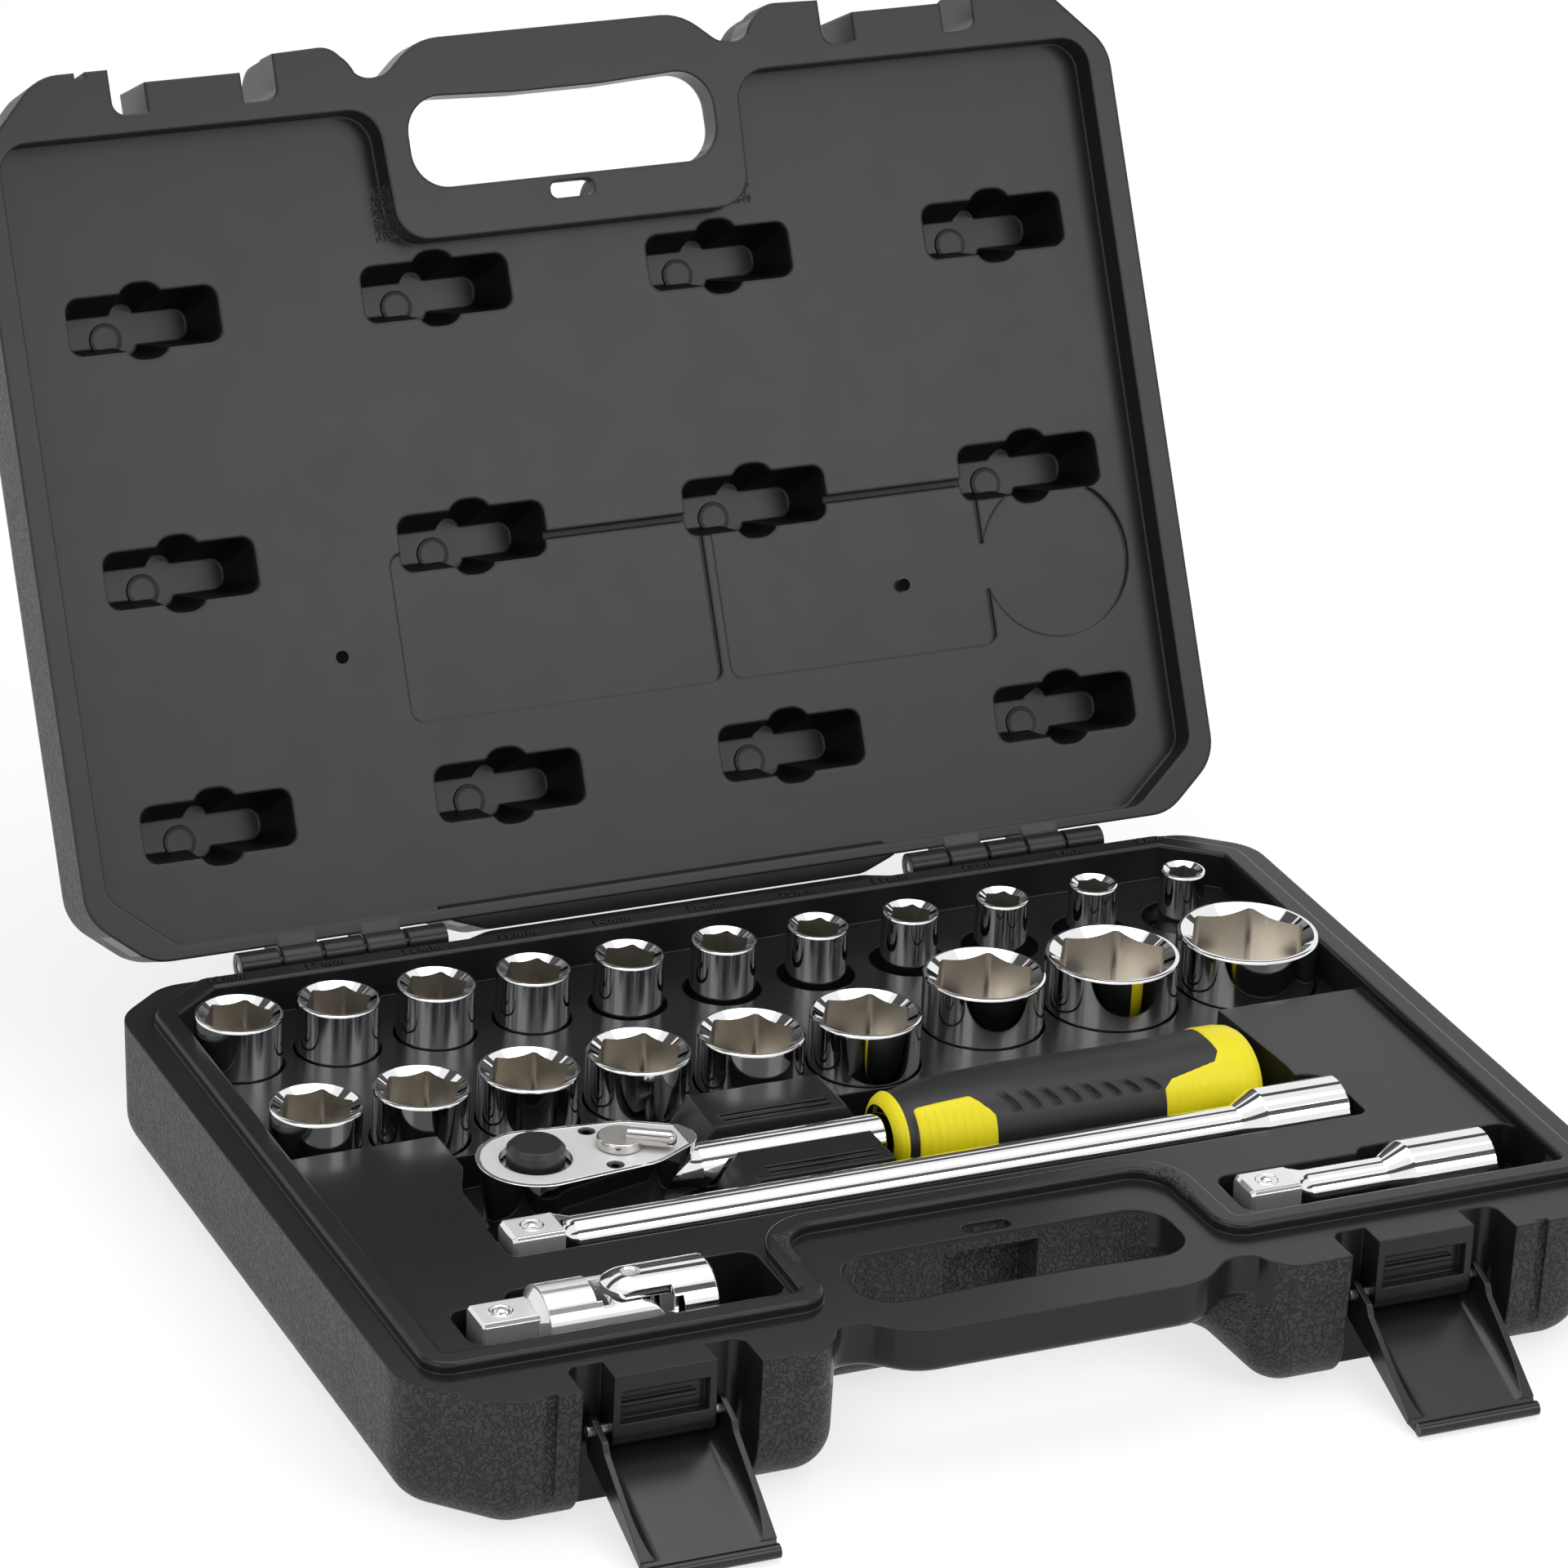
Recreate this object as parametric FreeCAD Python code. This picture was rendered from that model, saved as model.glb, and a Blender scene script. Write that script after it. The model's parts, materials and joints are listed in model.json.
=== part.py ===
import FreeCAD, Part
import math
import os

# A half-inch-drive socket set in a moulded case: two hinged case halves with a
# carrying grip, two latches, twenty metric sockets, a ratchet with its works,
# two extension bars and a universal joint.  Millimetres, +Z up, -Y to the front.
# The origin is the centre of the underside.

V = FreeCAD.Vector
X_AXIS = V(1, 0, 0)
Y_AXIS = V(0, 1, 0)
Z_AXIS = V(0, 0, 1)

# ---------------------------------------------------------------- the case
case_width = 364.0           # left to right at the rim
case_reach = 259.0           # back face to front face at the rim
hinge_setback = 4.6          # hinge axis behind the back face
base_depth = 41.5            # underside to rim
lid_depth = 35.0             # lid rim to lid top
rim_gap = 0.3                # between the two rims when the case is shut
draft_inset = 1.2            # how much each wall leans in over its depth
corner_bend = 15.0           # plan radius at the ends of the corner chamfers
shell_round = 14.0           # rounding from the walls into the flat outside
gap_round = 12.0             # rounding round the finger gap, below the grip
back_chamfer_x = 18.0
back_chamfer_y = 15.0
front_chamfer_x = 22.0
front_chamfer_y = 23.0
groove_side = 35.0           # upright groove on each front corner, from the side
groove_width = 3.2
groove_depth = 1.6

# ---------------------------------------------------------------- the grip
grip_gap_half = 49.0         # half the length of the finger gap
grip_band = 16.6             # front face to the ends of the finger gap
grip_swell = 1.7             # how much wider the bar is in the middle
grip_gap_reach = 27.8        # finger gap, back to front
grip_gap_bend = 11.0
grip_thick = 13.5            # height of the grip bar in each half
grip_edge = 3.0              # rounding of the bar's outer edge
grip_inner_edge = 5.0        # rounding of the bar towards the fingers
body_gap_half = 60.5         # the finger gap between the deep parts of the case
body_gap_flare = 3.5
key_slot_width = 14.0        # small slot through the flange behind the finger gap
key_slot_reach = 5.0
key_slot_bridge = 1.8        # flange left between the slot and the finger gap
key_recess_width = 28.5      # recess in the wall below the slot
key_recess_reach = 12.0
key_recess_drop = 4.2        # flange thickness over the recess

# ---------------------------------------------------------------- the seal ring
side_land = 8.0              # flat rim outside the raised ring, at the sides
front_land = 19.8
back_land = 4.3
ring_band = 6.8              # width of the ring
ring_height = 3.3
ring_edge = 1.3
ring_notch_half = 57.0       # the ring runs back round the grip
ring_notch_land = 15.7       # flat rim between the ring and the finger gap
ring_clearance = 0.8         # between the ring and the lid's recess
panel_depth = 9.5            # lid rim to the lid's inner panel
panel_wall = 3.5             # thickness left under the deepest dimples
dimple_shift = 1.9           # middle of the pattern of dimples, right of centre
dimple_pitch = 91.45
dimple_first_row = 41.4
dimple_row_pitch = 74.65
dimple_width = 46.8
dimple_reach = 17.0
dimple_tab_width = 14.5
dimple_tab_reach = 22.8
dimple_bend = 4.0
dimple_draft = 3.6           # how far each dimple's wall leans in
relief_depth = 1.6           # shallow relief over the large sockets
relief_bend = 4.0
relief_first = -71.0
relief_split = 30.3
relief_split_gap = 3.0
relief_last = 120.0
relief_back = 63.5
relief_front = 113.8
relief_round_x = 143.5
relief_round_radius = 24.5
relief_groove_width = 2.2    # dark groove between the middle dimples
relief_groove_depth = 2.8

# ---------------------------------------------------------------- the sockets
socket_sizes_back = [18, 17, 16, 15, 14, 13, 12, 11, 10, 9, 8]
socket_sizes_front = [19, 20, 21, 22, 23, 24]
socket_sizes_tall = [27, 30, 32]
socket_length = 38.0
socket_wall_base = 4.1       # outside diameter = base + factor x size
socket_wall_factor = 1.183
drive_end_min = 22.0         # smallest outside diameter round the drive square
drive_end_tall = 31.0        # outside diameter of the tall sockets' drive ends
drive_end_length = 15.0
neck_taper = 3.5
socket_edge = 0.7
hex_clearance = 0.15
hex_depth = 19.0
hex_lead = 1.4
hex_relief = 0.07            # corner relief radius as a share of the size
square_size = 12.7           # half-inch drive
square_clearance = 0.15
square_depth = 15.5
socket_top = 8.0             # mouth of each socket above the rim
back_row_reach = 42.7        # forward from the hinge axis
back_row_space = 13.2        # ring's inside to the first socket's middle
back_row_pitch = 30.0
front_row_edge = 115.8       # line that the front-row sockets touch
front_row_space = 4.2        # gap between neighbours in the front row
tall_row_gap = 9.0           # gap before the tall sockets
tall_row_space = 3.6
tall_row_setback = 28.3      # middle of the tall sockets behind that line
seat_clearance = 0.6         # socket wall to seat wall
seat_gap = 0.3               # tool to pocket floor
side_clearance = 1.0         # front row to the side of the well

# ---------------------------------------------------------------- the tray
deck_drop = 8.0              # deck round the sockets, below the rim
well_space = 1.4             # front row to the front edge of the socket well
well_bend = 5.0
head_pocket_space = 6.9      # ratchet's head to the end of its pocket
head_pocket_neck = 5.5       # how much narrower the pocket is towards the well
block_left = -53.5           # the two tray blocks beside the ratchet's shank
block_right = -0.5
block_bevel = 7.0
block_bevel_drop = 9.0
block_groove_width = 1.4
block_groove_depth = 1.2
pocket_bend = 5.0
tool_clearance = 0.8         # tool wall to pocket wall
tool_reach_lift = 0.4        # pocket floor below each tool

# ---------------------------------------------------------------- the ratchet
ratchet_space = 11.2         # socket well to the side of the grip
ratchet_drop = 7.2           # axis of the handle below the rim
head_x = -104.5
head_radius = 16.6
head_neck_x = -77.0
head_neck_radius = 13.6
head_tip_x = -64.6
head_tip_radius = 7.6
head_top = 1.6               # seat of the cover plate above the rim
head_bottom = -18.0
head_taper = 3.2             # how much the head narrows towards its bottom
plate_thick = 2.4
plate_inset = 1.3            # width of the head's rim round the cover plate
plate_fit = 0.06
screw_x = -85.1
screw_spacing = 21.0
screw_head_radius = 2.4
screw_shank_radius = 1.5
shank_radius = 7.0
shank_end = 8.0
shank_tang = 70.0            # how far the shank runs inside the grip
grip_start = 3.5
grip_end = 120.0
grip_half_wide = 17.0
grip_half_high = 15.5
gear_x = -104.5
gear_teeth = 36
gear_root = 9.6
gear_tip = 10.8
gear_thick = 9.0
gear_cavity_clearance = 0.4
gear_hub_radius = 8.4
gear_window = 10.2           # hole in the cover plate, round the button
tooth_clearance = 0.12       # pawl teeth to gear teeth
drive_reach = 15.5           # drive square below the head
plunger_radius = 2.1
button_radius = 8.2
button_height = 4.7          # button above the cover plate, at rest
button_skirt = 1.2           # button below the cover plate's level, at rest
button_travel = 2.5
lever_x = -79.5
lever_radius = 6.6
lever_thick = 2.6
lever_rod_radius = 2.5
lever_shaft_radius = 3.0
lever_thumb = 13.5
lever_turn = 30.0            # the lever stands this far to either side
running_fit = 0.05           # radial clearance of a pin or shaft in its bore

# ---------------------------------------------------------------- bars and joint
bar_drop = 4.5               # axis of the bars and the joint, below the rim
long_bar_length = 254.0
long_bar_shift = 1.0         # middle of the long bar, right of centre
long_bar_space = 4.85        # ratchet's grip to the bar's socket end
short_bar_length = 76.0
short_bar_space = 14.7       # short bar to the ring's inside
front_tools_space = 5.8      # universal joint to the ring's inside
bar_radius = 6.5
bar_socket_radius = 10.25
bar_socket_length = 26.0
bar_taper = 7.0
bar_square_length = 15.0
bar_neck_taper = 4.0
joint_space = 15.7           # ring's inside to the universal joint's square
joint_length = 66.5
joint_radius = 11.2
joint_bore_radius = 12.0
joint_cross_along = 44.2        # cross pins, from the tip of the joint's square
joint_pin_radius = 2.5
joint_fork_gap = 14.4
arm_round = 6.9              # half width and nose rounding of the fork ears
joint_crotch = 12.3          # bottom of each fork, from the cross pins
detent_radius = 2.4

# ---------------------------------------------------------------- latches, hinge
latch_side = 69.0            # middle of each latch, from the side
latch_bay_half = 25.4        # half width of the bay for each latch
latch_bay_reach = 13.6       # depth of the bay behind the front face
latch_bay_bend = 4.0
latch_block_half = 14.75     # block that the latch straddles
latch_block_reach = 9.0      # how far the block stands out in its bay
latch_pin_out = 4.2          # pin in front of the bay's back
latch_pin_drop = 18.0
latch_pin_radius = 1.5
latch_block_round = 4.8
latch_half_width = 19.3
latch_wall = 1.8
latch_length = 45.0          # pin axis to the rolled lip
latch_offset = 5.8           # pin axis to the inside of the plate
latch_lip_radius = 2.0
latch_lip_inset = 0.9        # lip's ends from the plate's sides
latch_inner_bend = 4.0       # rounding between plate and cheeks
latch_boss = 3.9
latch_open_angle = -20.6     # plate direction when hanging open
latch_hook_gap = 0.4         # rolled lip to the top of the lid's block
hinge_side = 75.0            # middle of each hinge group, from the side
knuckle_length = 12.0
knuckle_gap = 1.0
knuckle_radius = 4.2
hinge_pin_radius = 1.5
stop_heel = 9.5              # length of the stop heels on the lid
stop_gap = 0.3
lid_open_angle = 117.5       # how far the lid leans back on its stops

hinge_y = case_reach / 2 + hinge_setback
rim_z = base_depth
front_reach = hinge_setback + case_reach
half_width = case_width / 2
groove_x = half_width - groove_side
latch_x = half_width - latch_side
hinge_group_x = half_width - hinge_side
grip_gap_front = front_reach - grip_band
grip_gap_back = grip_gap_front - grip_gap_reach
ring_half_width = half_width - side_land
ring_front = front_reach - front_land
ring_back = hinge_setback + back_land
ring_notch_back = grip_gap_back - ring_notch_land
ring_inside = ring_half_width - ring_band
latch_bay_back = front_reach - latch_bay_reach
latch_block_front = latch_bay_back + latch_block_reach
latch_pin_reach = latch_bay_back + latch_pin_out
lid_block_height = latch_length - latch_pin_drop - latch_lip_radius - latch_hook_gap
back_row_first = back_row_space - ring_inside
tall_row_reach = front_row_edge - tall_row_setback
well_front = front_row_edge + well_space
ratchet_reach = well_front + ratchet_space + grip_half_wide
long_bar_reach = ratchet_reach + grip_half_wide + long_bar_space + bar_socket_radius
long_bar_left = long_bar_shift - long_bar_length / 2
front_tools_reach = ring_front - ring_band - front_tools_space - joint_bore_radius
short_bar_left = ring_inside - short_bar_space - short_bar_length
joint_left = joint_space - ring_inside
joint_cross_x = joint_left + joint_cross_along


# ---------------------------------------------------------------- helpers
def at(reach):
    """Y of a point that lies the given distance in front of the hinge axis."""
    return hinge_y - reach


def corner_arc(before, corner, after, radius):
    """Start, middle and end of the arc that rounds one corner."""
    u = (before - corner).normalize()
    w = (after - corner).normalize()
    half = 0.5 * u.getAngle(w)
    middle = (u + w).normalize()
    centre = corner + middle * (radius / math.sin(half))
    run = radius / math.tan(half)
    return corner + u * run, centre - middle * radius, corner + w * run


def outline(points, z):
    """Closed wire through (x, y, radius) corners at height z."""
    corners = [V(x, y, z) for x, y, radius in points]
    count = len(corners)
    ends = []
    edges = []
    for i in range(count):
        radius = points[i][2]
        after = corners[(i + 1) % count]
        if radius > 0:
            start, middle, end = corner_arc(corners[i - 1], corners[i], after, radius)
            edges.append(Part.Arc(start, middle, end).toShape())
        else:
            start = end = corners[i]
            edges.append(None)
        ends.append((start, end))
    joined = []
    for i in range(count):
        if edges[i] is not None:
            joined.append(edges[i])
        start = ends[i][1]
        end = ends[(i + 1) % count][0]
        if start.distanceToPoint(end) > 1e-6:
            joined.append(Part.LineSegment(start, end).toShape())
    return Part.Wire(joined)


def prism(points, low, high):
    """Upright solid on an outline of (x, y, radius) corners."""
    return Part.Face(outline(points, low)).extrude(V(0, 0, high - low))


def mirrored(half):
    """Full left-right symmetric outline from its right half, back to front."""
    return half + [(-x, y, radius) for x, y, radius in reversed(half)]


def inset(points, amount):
    """The same outline moved inwards by amount, its bends kept concentric."""
    flat = [V(x, y, 0) for x, y, radius in points]
    count = len(flat)
    area = sum(flat[i - 1].x * flat[i].y - flat[i].x * flat[i - 1].y for i in range(count))
    side = 1.0 if area > 0 else -1.0
    moved = []
    for i in range(count):
        into = (flat[i] - flat[i - 1]).normalize()
        out = (flat[(i + 1) % count] - flat[i]).normalize()
        normal_a = V(-into.y, into.x, 0) * side
        normal_b = V(-out.y, out.x, 0) * side
        turn = (into.x * out.y - into.y * out.x) * side
        shift = (normal_a + normal_b) * (amount / (1 + normal_a.dot(normal_b)))
        bend = points[i][2] - amount if turn > 0 else points[i][2] + amount
        corner = flat[i] + shift
        moved.append((corner.x, corner.y, max(bend, 0.8)))
    return moved


def block(x0, x1, reach0, reach1, z0, z1):
    """Box between two x, two distances in front of the hinge, and two heights."""
    return Part.makeBox(x1 - x0, reach1 - reach0, z1 - z0, V(x0, at(reach1), z0))


def pocket(x0, x1, reach0, reach1, floor, bend):
    """Round-cornered pocket from floor up past the rim."""
    corners = [
        (x0, at(reach0), bend),
        (x1, at(reach0), bend),
        (x1, at(reach1), bend),
        (x0, at(reach1), bend),
    ]
    return prism(corners, floor, rim_z + ring_height + 1)


def rod(radius, x0, x1, reach, z):
    """Round bar along X."""
    return Part.makeCylinder(radius, x1 - x0, V(x0, at(reach), z), X_AXIS)


def post(radius, x, reach, z0, z1):
    """Round bar along Z."""
    return Part.makeCylinder(radius, z1 - z0, V(x, at(reach), z0), Z_AXIS)


def turned(profile):
    """Solid turned about the Z axis from (radius, z) points."""
    points = [V(radius, 0, z) for radius, z in profile]
    wire = Part.makePolygon(points + [points[0]])
    return Part.Face(wire).revolve(V(0, 0, 0), Z_AXIS, 360)


def side_plate(points, x0, x1):
    """Solid between two x from a profile of (reach, z) points."""
    corners = [V(x0, at(reach), z) for reach, z in points]
    face = Part.Face(Part.makePolygon(corners + [corners[0]]))
    return face.extrude(V(x1 - x0, 0, 0))


def edges_where(shape, test):
    return [edge for edge in shape.Edges if test(edge.BoundBox)]


def fused(shapes):
    result = shapes[0].fuse(shapes[1:]) if len(shapes) > 1 else shapes[0]
    return result.removeSplitter()


def save(name, shape):
    solids = shape.Solids
    kept = solids[0] if len(solids) == 1 else Part.makeCompound(solids)
    kept.exportStep("parts/" + name + ".step")
    box = kept.BoundBox
    print(name, len(solids), kept.isValid(), round(kept.Volume), round(box.ZMin, 1), round(box.ZMax, 1))


# ---------------------------------------------------------------- case halves
def case_half(shrink):
    """Right half of the case outline, back to front."""
    return [
        (half_width - back_chamfer_x - 0.6 * shrink, at(hinge_setback) - shrink, corner_bend),
        (half_width - shrink, at(hinge_setback + back_chamfer_y) - 0.6 * shrink, corner_bend),
        (half_width - shrink, at(front_reach - front_chamfer_y) + 0.6 * shrink, corner_bend),
        (half_width - front_chamfer_x - 0.6 * shrink, at(front_reach) + shrink, corner_bend),
    ]


def grip_bar():
    """The bar round the finger gap, full outline of the front middle of the case."""
    half = [
        (latch_x - latch_bay_half + 0.4, at(latch_bay_back), 0),
        (latch_x - latch_bay_half + 0.4, at(front_reach), 0),
        (body_gap_half + 8.5, at(front_reach + 0.6), 8),
        (body_gap_half + 1.0, at(front_reach - 10.4), 7),
        (grip_gap_half + 4.5, at(front_reach - 9.4), 8),
        (grip_gap_half - 6.5, at(front_reach + 0.2), 18),
    ]
    back = grip_gap_back - 6.0
    corners = [(latch_x - latch_bay_half + 0.4, at(back), 0)] + half
    return mirrored(corners)


def case_body(depth):
    """One deep case half, closed side at z = 0, rim at z = depth, no features."""
    wide = outline(mirrored(case_half(0.0)), depth)
    narrow = outline(mirrored(case_half(draft_inset)), 0.0)
    body = Part.makeLoft([narrow, wide], True, True)
    body = body.makeFillet(shell_round, edges_where(body, lambda box: box.ZMax < 0.01))
    gap_half = [
        (body_gap_half, at(grip_gap_back), 9.0),
        (body_gap_half + body_gap_flare, at(front_reach + 20), 0),
    ]
    gap = prism(mirrored(gap_half), -5.0, depth + 5.0)
    body = body.cut(gap)
    reach_x = body_gap_half + body_gap_flare + 2
    body = body.makeFillet(gap_round, edges_where(body, lambda box: on_gap_edge(box, reach_x)))
    return body


def on_gap_edge(box, reach_x):
    """True for the outside edges that run round the finger gap."""
    near = box.XMax < reach_x and box.XMin > -reach_x
    front = box.YMax < at(grip_gap_back) + 0.1
    corner_line = box.ZLength > 25 and box.YLength < 0.3
    upright_front = corner_line and box.YMax < at(front_reach - 3)
    low = box.ZMin < 0.1
    return near and front and ((low and not corner_line) or upright_front)


def half_with_grip(depth):
    """Case half with its grip bar, finger gap, latch bays and grooves."""
    body = case_body(depth)
    bar = prism(grip_bar(), depth - grip_thick, depth)
    bar = bar.makeFillet(grip_edge, edges_where(bar, lambda box: box_on_bar_edge(box, depth)))
    bar = bar.cut(finger_gap(depth))
    bar = bar.makeFillet(grip_inner_edge, edges_where(bar, lambda box: box_on_gap_edge(box, depth)))
    body = body.cut(finger_gap(depth)).fuse(bar)
    recess_top = depth - key_recess_drop
    half_recess = key_recess_width / 2
    recess_back = grip_gap_back - key_recess_reach
    cuts = [block(-half_recess, half_recess, recess_back, grip_gap_back + 1, -1.0, recess_top)]
    cuts.append(key_slot(recess_top - 1, depth + 1))
    for side in (-1, 1):
        cuts.append(latch_bay(side, depth))
        cuts.append(corner_groove(side, depth))
    return body.cut(Part.makeCompound(cuts))


def finger_gap(depth):
    """Upright hole for the fingers, the bar in front of it widest in the middle."""
    corners = [
        (grip_gap_half, at(grip_gap_back), grip_gap_bend),
        (grip_gap_half, at(grip_gap_front), grip_gap_bend),
        (grip_gap_half - 35.0, at(grip_gap_front - grip_swell), 40.0),
    ]
    return prism(mirrored(corners), -1.0, depth + 1)


def key_slot(low, high):
    """Round-cornered slot through the flange, for a hook or a lock."""
    front = grip_gap_back - key_slot_bridge
    corners = [
        (key_slot_width / 2, at(front - key_slot_reach), key_slot_reach * 0.45),
        (key_slot_width / 2, at(front), key_slot_reach * 0.45),
    ]
    return prism(mirrored(corners), low, high)


def box_on_gap_edge(box, depth):
    low = abs(box.ZMin - (depth - grip_thick)) < 0.01 and box.ZLength < 0.01
    inside = box.XMax < grip_gap_half + 0.1 and box.XMin > -grip_gap_half - 0.1
    return low and inside and box.YMin > at(grip_gap_front) - 0.1 and box.YMax < at(grip_gap_back) + 0.1


def box_on_bar_edge(box, depth):
    low = abs(box.ZMin - (depth - grip_thick)) < 0.01 and box.ZLength < 0.01
    return low and box.YMax < at(front_reach - 12) and box.XLength < 100


def latch_bay(side, depth):
    """Bay cut into the front for one latch, round at its inner corners."""
    centre = side * latch_x
    corners = [
        (centre - latch_bay_half, at(latch_bay_back), latch_bay_bend),
        (centre + latch_bay_half, at(latch_bay_back), latch_bay_bend),
        (centre + latch_bay_half, at(front_reach + 10), 0),
        (centre - latch_bay_half, at(front_reach + 10), 0),
    ]
    return prism(corners, -1.0, depth + 1)


def corner_groove(side, depth):
    centre = side * groove_x
    return block(
        centre - groove_width / 2, centre + groove_width / 2,
        front_reach - groove_depth, front_reach + 5, -1.0, depth + 1,
    )


def ring_half():
    """Right half of the raised ring's outside, back to front."""
    return [
        (ring_half_width - back_chamfer_x - 2.0, at(ring_back), 6.0),
        (ring_half_width, at(ring_back + back_chamfer_y + 1.5), 8.0),
        (ring_half_width, at(ring_front), 8.0),
        (ring_notch_half + 1.5, at(ring_front), 9.0),
        (ring_notch_half, at(ring_notch_back), 11.0),
    ]


def seal_ring():
    outer = mirrored(ring_half())
    low = rim_z - 1.0
    ring = prism(outer, low, rim_z + ring_height)
    inner = prism(inset(outer, ring_band), low - 1, rim_z + ring_height + 1)
    ring = ring.cut(inner)
    top = edges_where(ring, lambda box: box.ZMin > rim_z + ring_height - 0.01)
    return ring.makeFillet(ring_edge, top)


# ---------------------------------------------------------------- socket places
def socket_outside(size):
    return socket_wall_base + socket_wall_factor * size


def socket_widest(size):
    """Largest radius of a socket."""
    return max(socket_outside(size), drive_end_min) / 2


def socket_places():
    """(size, x, reach) of each socket in the case."""
    places = []
    for i, size in enumerate(socket_sizes_back):
        places.append((size, back_row_first + i * back_row_pitch, back_row_reach))
    x = side_clearance - ring_inside
    for size in socket_sizes_front:
        radius = socket_widest(size)
        x += radius
        places.append((size, x, front_row_edge - radius))
        x += radius + front_row_space
    x += tall_row_gap - front_row_space
    for size in socket_sizes_tall:
        radius = socket_widest(size)
        x += radius
        places.append((size, x, tall_row_reach))
        x += radius + tall_row_space
    return places


# ---------------------------------------------------------------- base shell
def well_cut():
    """The socket well inside the ring, down to the deck."""
    inside = inset(mirrored(ring_half()), ring_band)
    well = prism(inside, rim_z - deck_drop, rim_z + ring_height + 1)
    return well.common(block(-half_width, half_width, 0, well_front, 0, rim_z + 20))


def seat_cuts():
    cuts = []
    for size, x, reach in socket_places():
        floor = rim_z + socket_top - socket_length - seat_gap
        cuts.append(post(socket_widest(size) + seat_clearance, x, reach, floor, rim_z))
    return cuts


def ratchet_cuts():
    """Pockets for the ratchet's head, shank and grip, open to the socket well."""
    head_floor = rim_z + head_bottom - tool_reach_lift
    shank_floor = rim_z - ratchet_drop - shank_radius - tool_reach_lift
    grip_floor = rim_z - ratchet_drop - grip_half_high - 2 * tool_reach_lift
    bar_back = long_bar_reach - bar_radius - tool_clearance
    head_end = head_x - head_radius - head_pocket_space
    head = [
        (head_end + head_pocket_neck, at(well_front - 0.5), 0),
        (head_end + head_pocket_neck, at(ratchet_reach - 8.4), 5.0),
        (head_end, at(ratchet_reach + 4.6), 8.0),
        (head_end, at(bar_back + 2), 0),
        (block_left, at(bar_back + 2), 0),
        (block_left, at(well_front - 0.5), 0),
    ]
    drive = post(square_size * 0.72 + tool_clearance, head_x, ratchet_reach, head_floor - drive_reach, rim_z)
    half_shank = shank_radius + 1.0
    shank = block(block_left - 1, block_right + 1, ratchet_reach - half_shank, ratchet_reach + half_shank, shank_floor, rim_z + 9)
    grip = [
        (block_right, at(well_front - 0.5), 0),
        (block_right, at(bar_back + 2), 0),
        (grip_end + 2.0, at(bar_back + 2), 0),
        (grip_end + 3.0, at(ratchet_reach + 9.6), 4.0),
        (grip_end + 0.5, at(well_front - 0.5), 0),
    ]
    return [
        prism(head, head_floor, rim_z + 9),
        drive,
        shank,
        prism(grip, grip_floor, rim_z + 9),
    ]


def bar_cuts():
    """Channels for the long bar, the short bar and the universal joint."""
    shank_floor = rim_z - bar_drop - bar_radius - tool_reach_lift
    socket_floor = rim_z - bar_drop - bar_socket_radius - tool_reach_lift
    joint_floor = rim_z - bar_drop - joint_bore_radius - tool_reach_lift
    half_shank = bar_radius + tool_clearance
    half_socket = bar_socket_radius + tool_clearance
    front = long_bar_reach + half_socket + 1.0
    socket_start = long_bar_left + long_bar_length - bar_socket_length - bar_taper - 2
    channel_end = long_bar_left + long_bar_length + 3.5
    long_channel = pocket(
        long_bar_left - 3.5, channel_end, long_bar_reach - half_shank, front, shank_floor, 3.0
    )
    long_seat = pocket(
        socket_start, channel_end, long_bar_reach - half_socket, front, socket_floor, 4.0
    )
    scoop = post(9.5, long_bar_left + long_bar_length - 5.5, long_bar_reach - 6.5, socket_floor, rim_z + 9)
    tools_back = front_tools_reach - half_socket - 1.0
    tools_front = front_tools_reach + half_socket + 2.0
    step_x = short_bar_left + short_bar_length - bar_socket_length - bar_taper - 3
    short_seat = pocket(step_x, ring_inside, tools_back, tools_front, socket_floor, pocket_bend)
    short_channel = pocket(
        short_bar_left - 5, step_x + 2 * pocket_bend, tools_back + 3, tools_front, shank_floor, pocket_bend
    )
    joint_back = front_tools_reach - joint_bore_radius - tool_clearance
    joint_front = front_tools_reach + joint_bore_radius + tool_clearance
    joint_seat = pocket(joint_left + 12, joint_left + joint_length + 19, joint_back, joint_front, joint_floor, pocket_bend)
    joint_channel = pocket(joint_left - 5.5, joint_left + 26, joint_back + 5.5, joint_front, joint_floor + 4, pocket_bend)
    return [long_channel, long_seat, scoop, short_seat, short_channel, joint_seat, joint_channel]


def block_bevel_cuts():
    """Sloping ends and the two fine grooves of the tray blocks beside the shank."""
    cuts = []
    low = rim_z - block_bevel_drop
    bar_back = long_bar_reach - bar_radius - tool_clearance
    for reach0, reach1 in ((well_front - 1, ratchet_reach - shank_radius), (ratchet_reach + shank_radius, bar_back + 1)):
        for x_end, lean in ((block_left, 1), (block_right, -1)):
            wedge = [
                V(x_end - lean, at(reach1), rim_z + 1),
                V(x_end + lean * block_bevel, at(reach1), rim_z + 1),
                V(x_end, at(reach1), low),
                V(x_end - lean, at(reach1), low),
            ]
            face = Part.Face(Part.makePolygon(wedge + [wedge[0]]))
            cuts.append(face.extrude(V(0, reach1 - reach0, 0)))
    for edge in (ratchet_reach - shank_radius - 1.0, bar_back):
        for step in (2.4, 5.2):
            cuts.append(
                block(
                    block_left + block_bevel + 3, block_right - block_bevel - 3,
                    edge - step - block_groove_width, edge - step,
                    rim_z - block_groove_depth, rim_z + 1,
                )
            )
    return cuts


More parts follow.
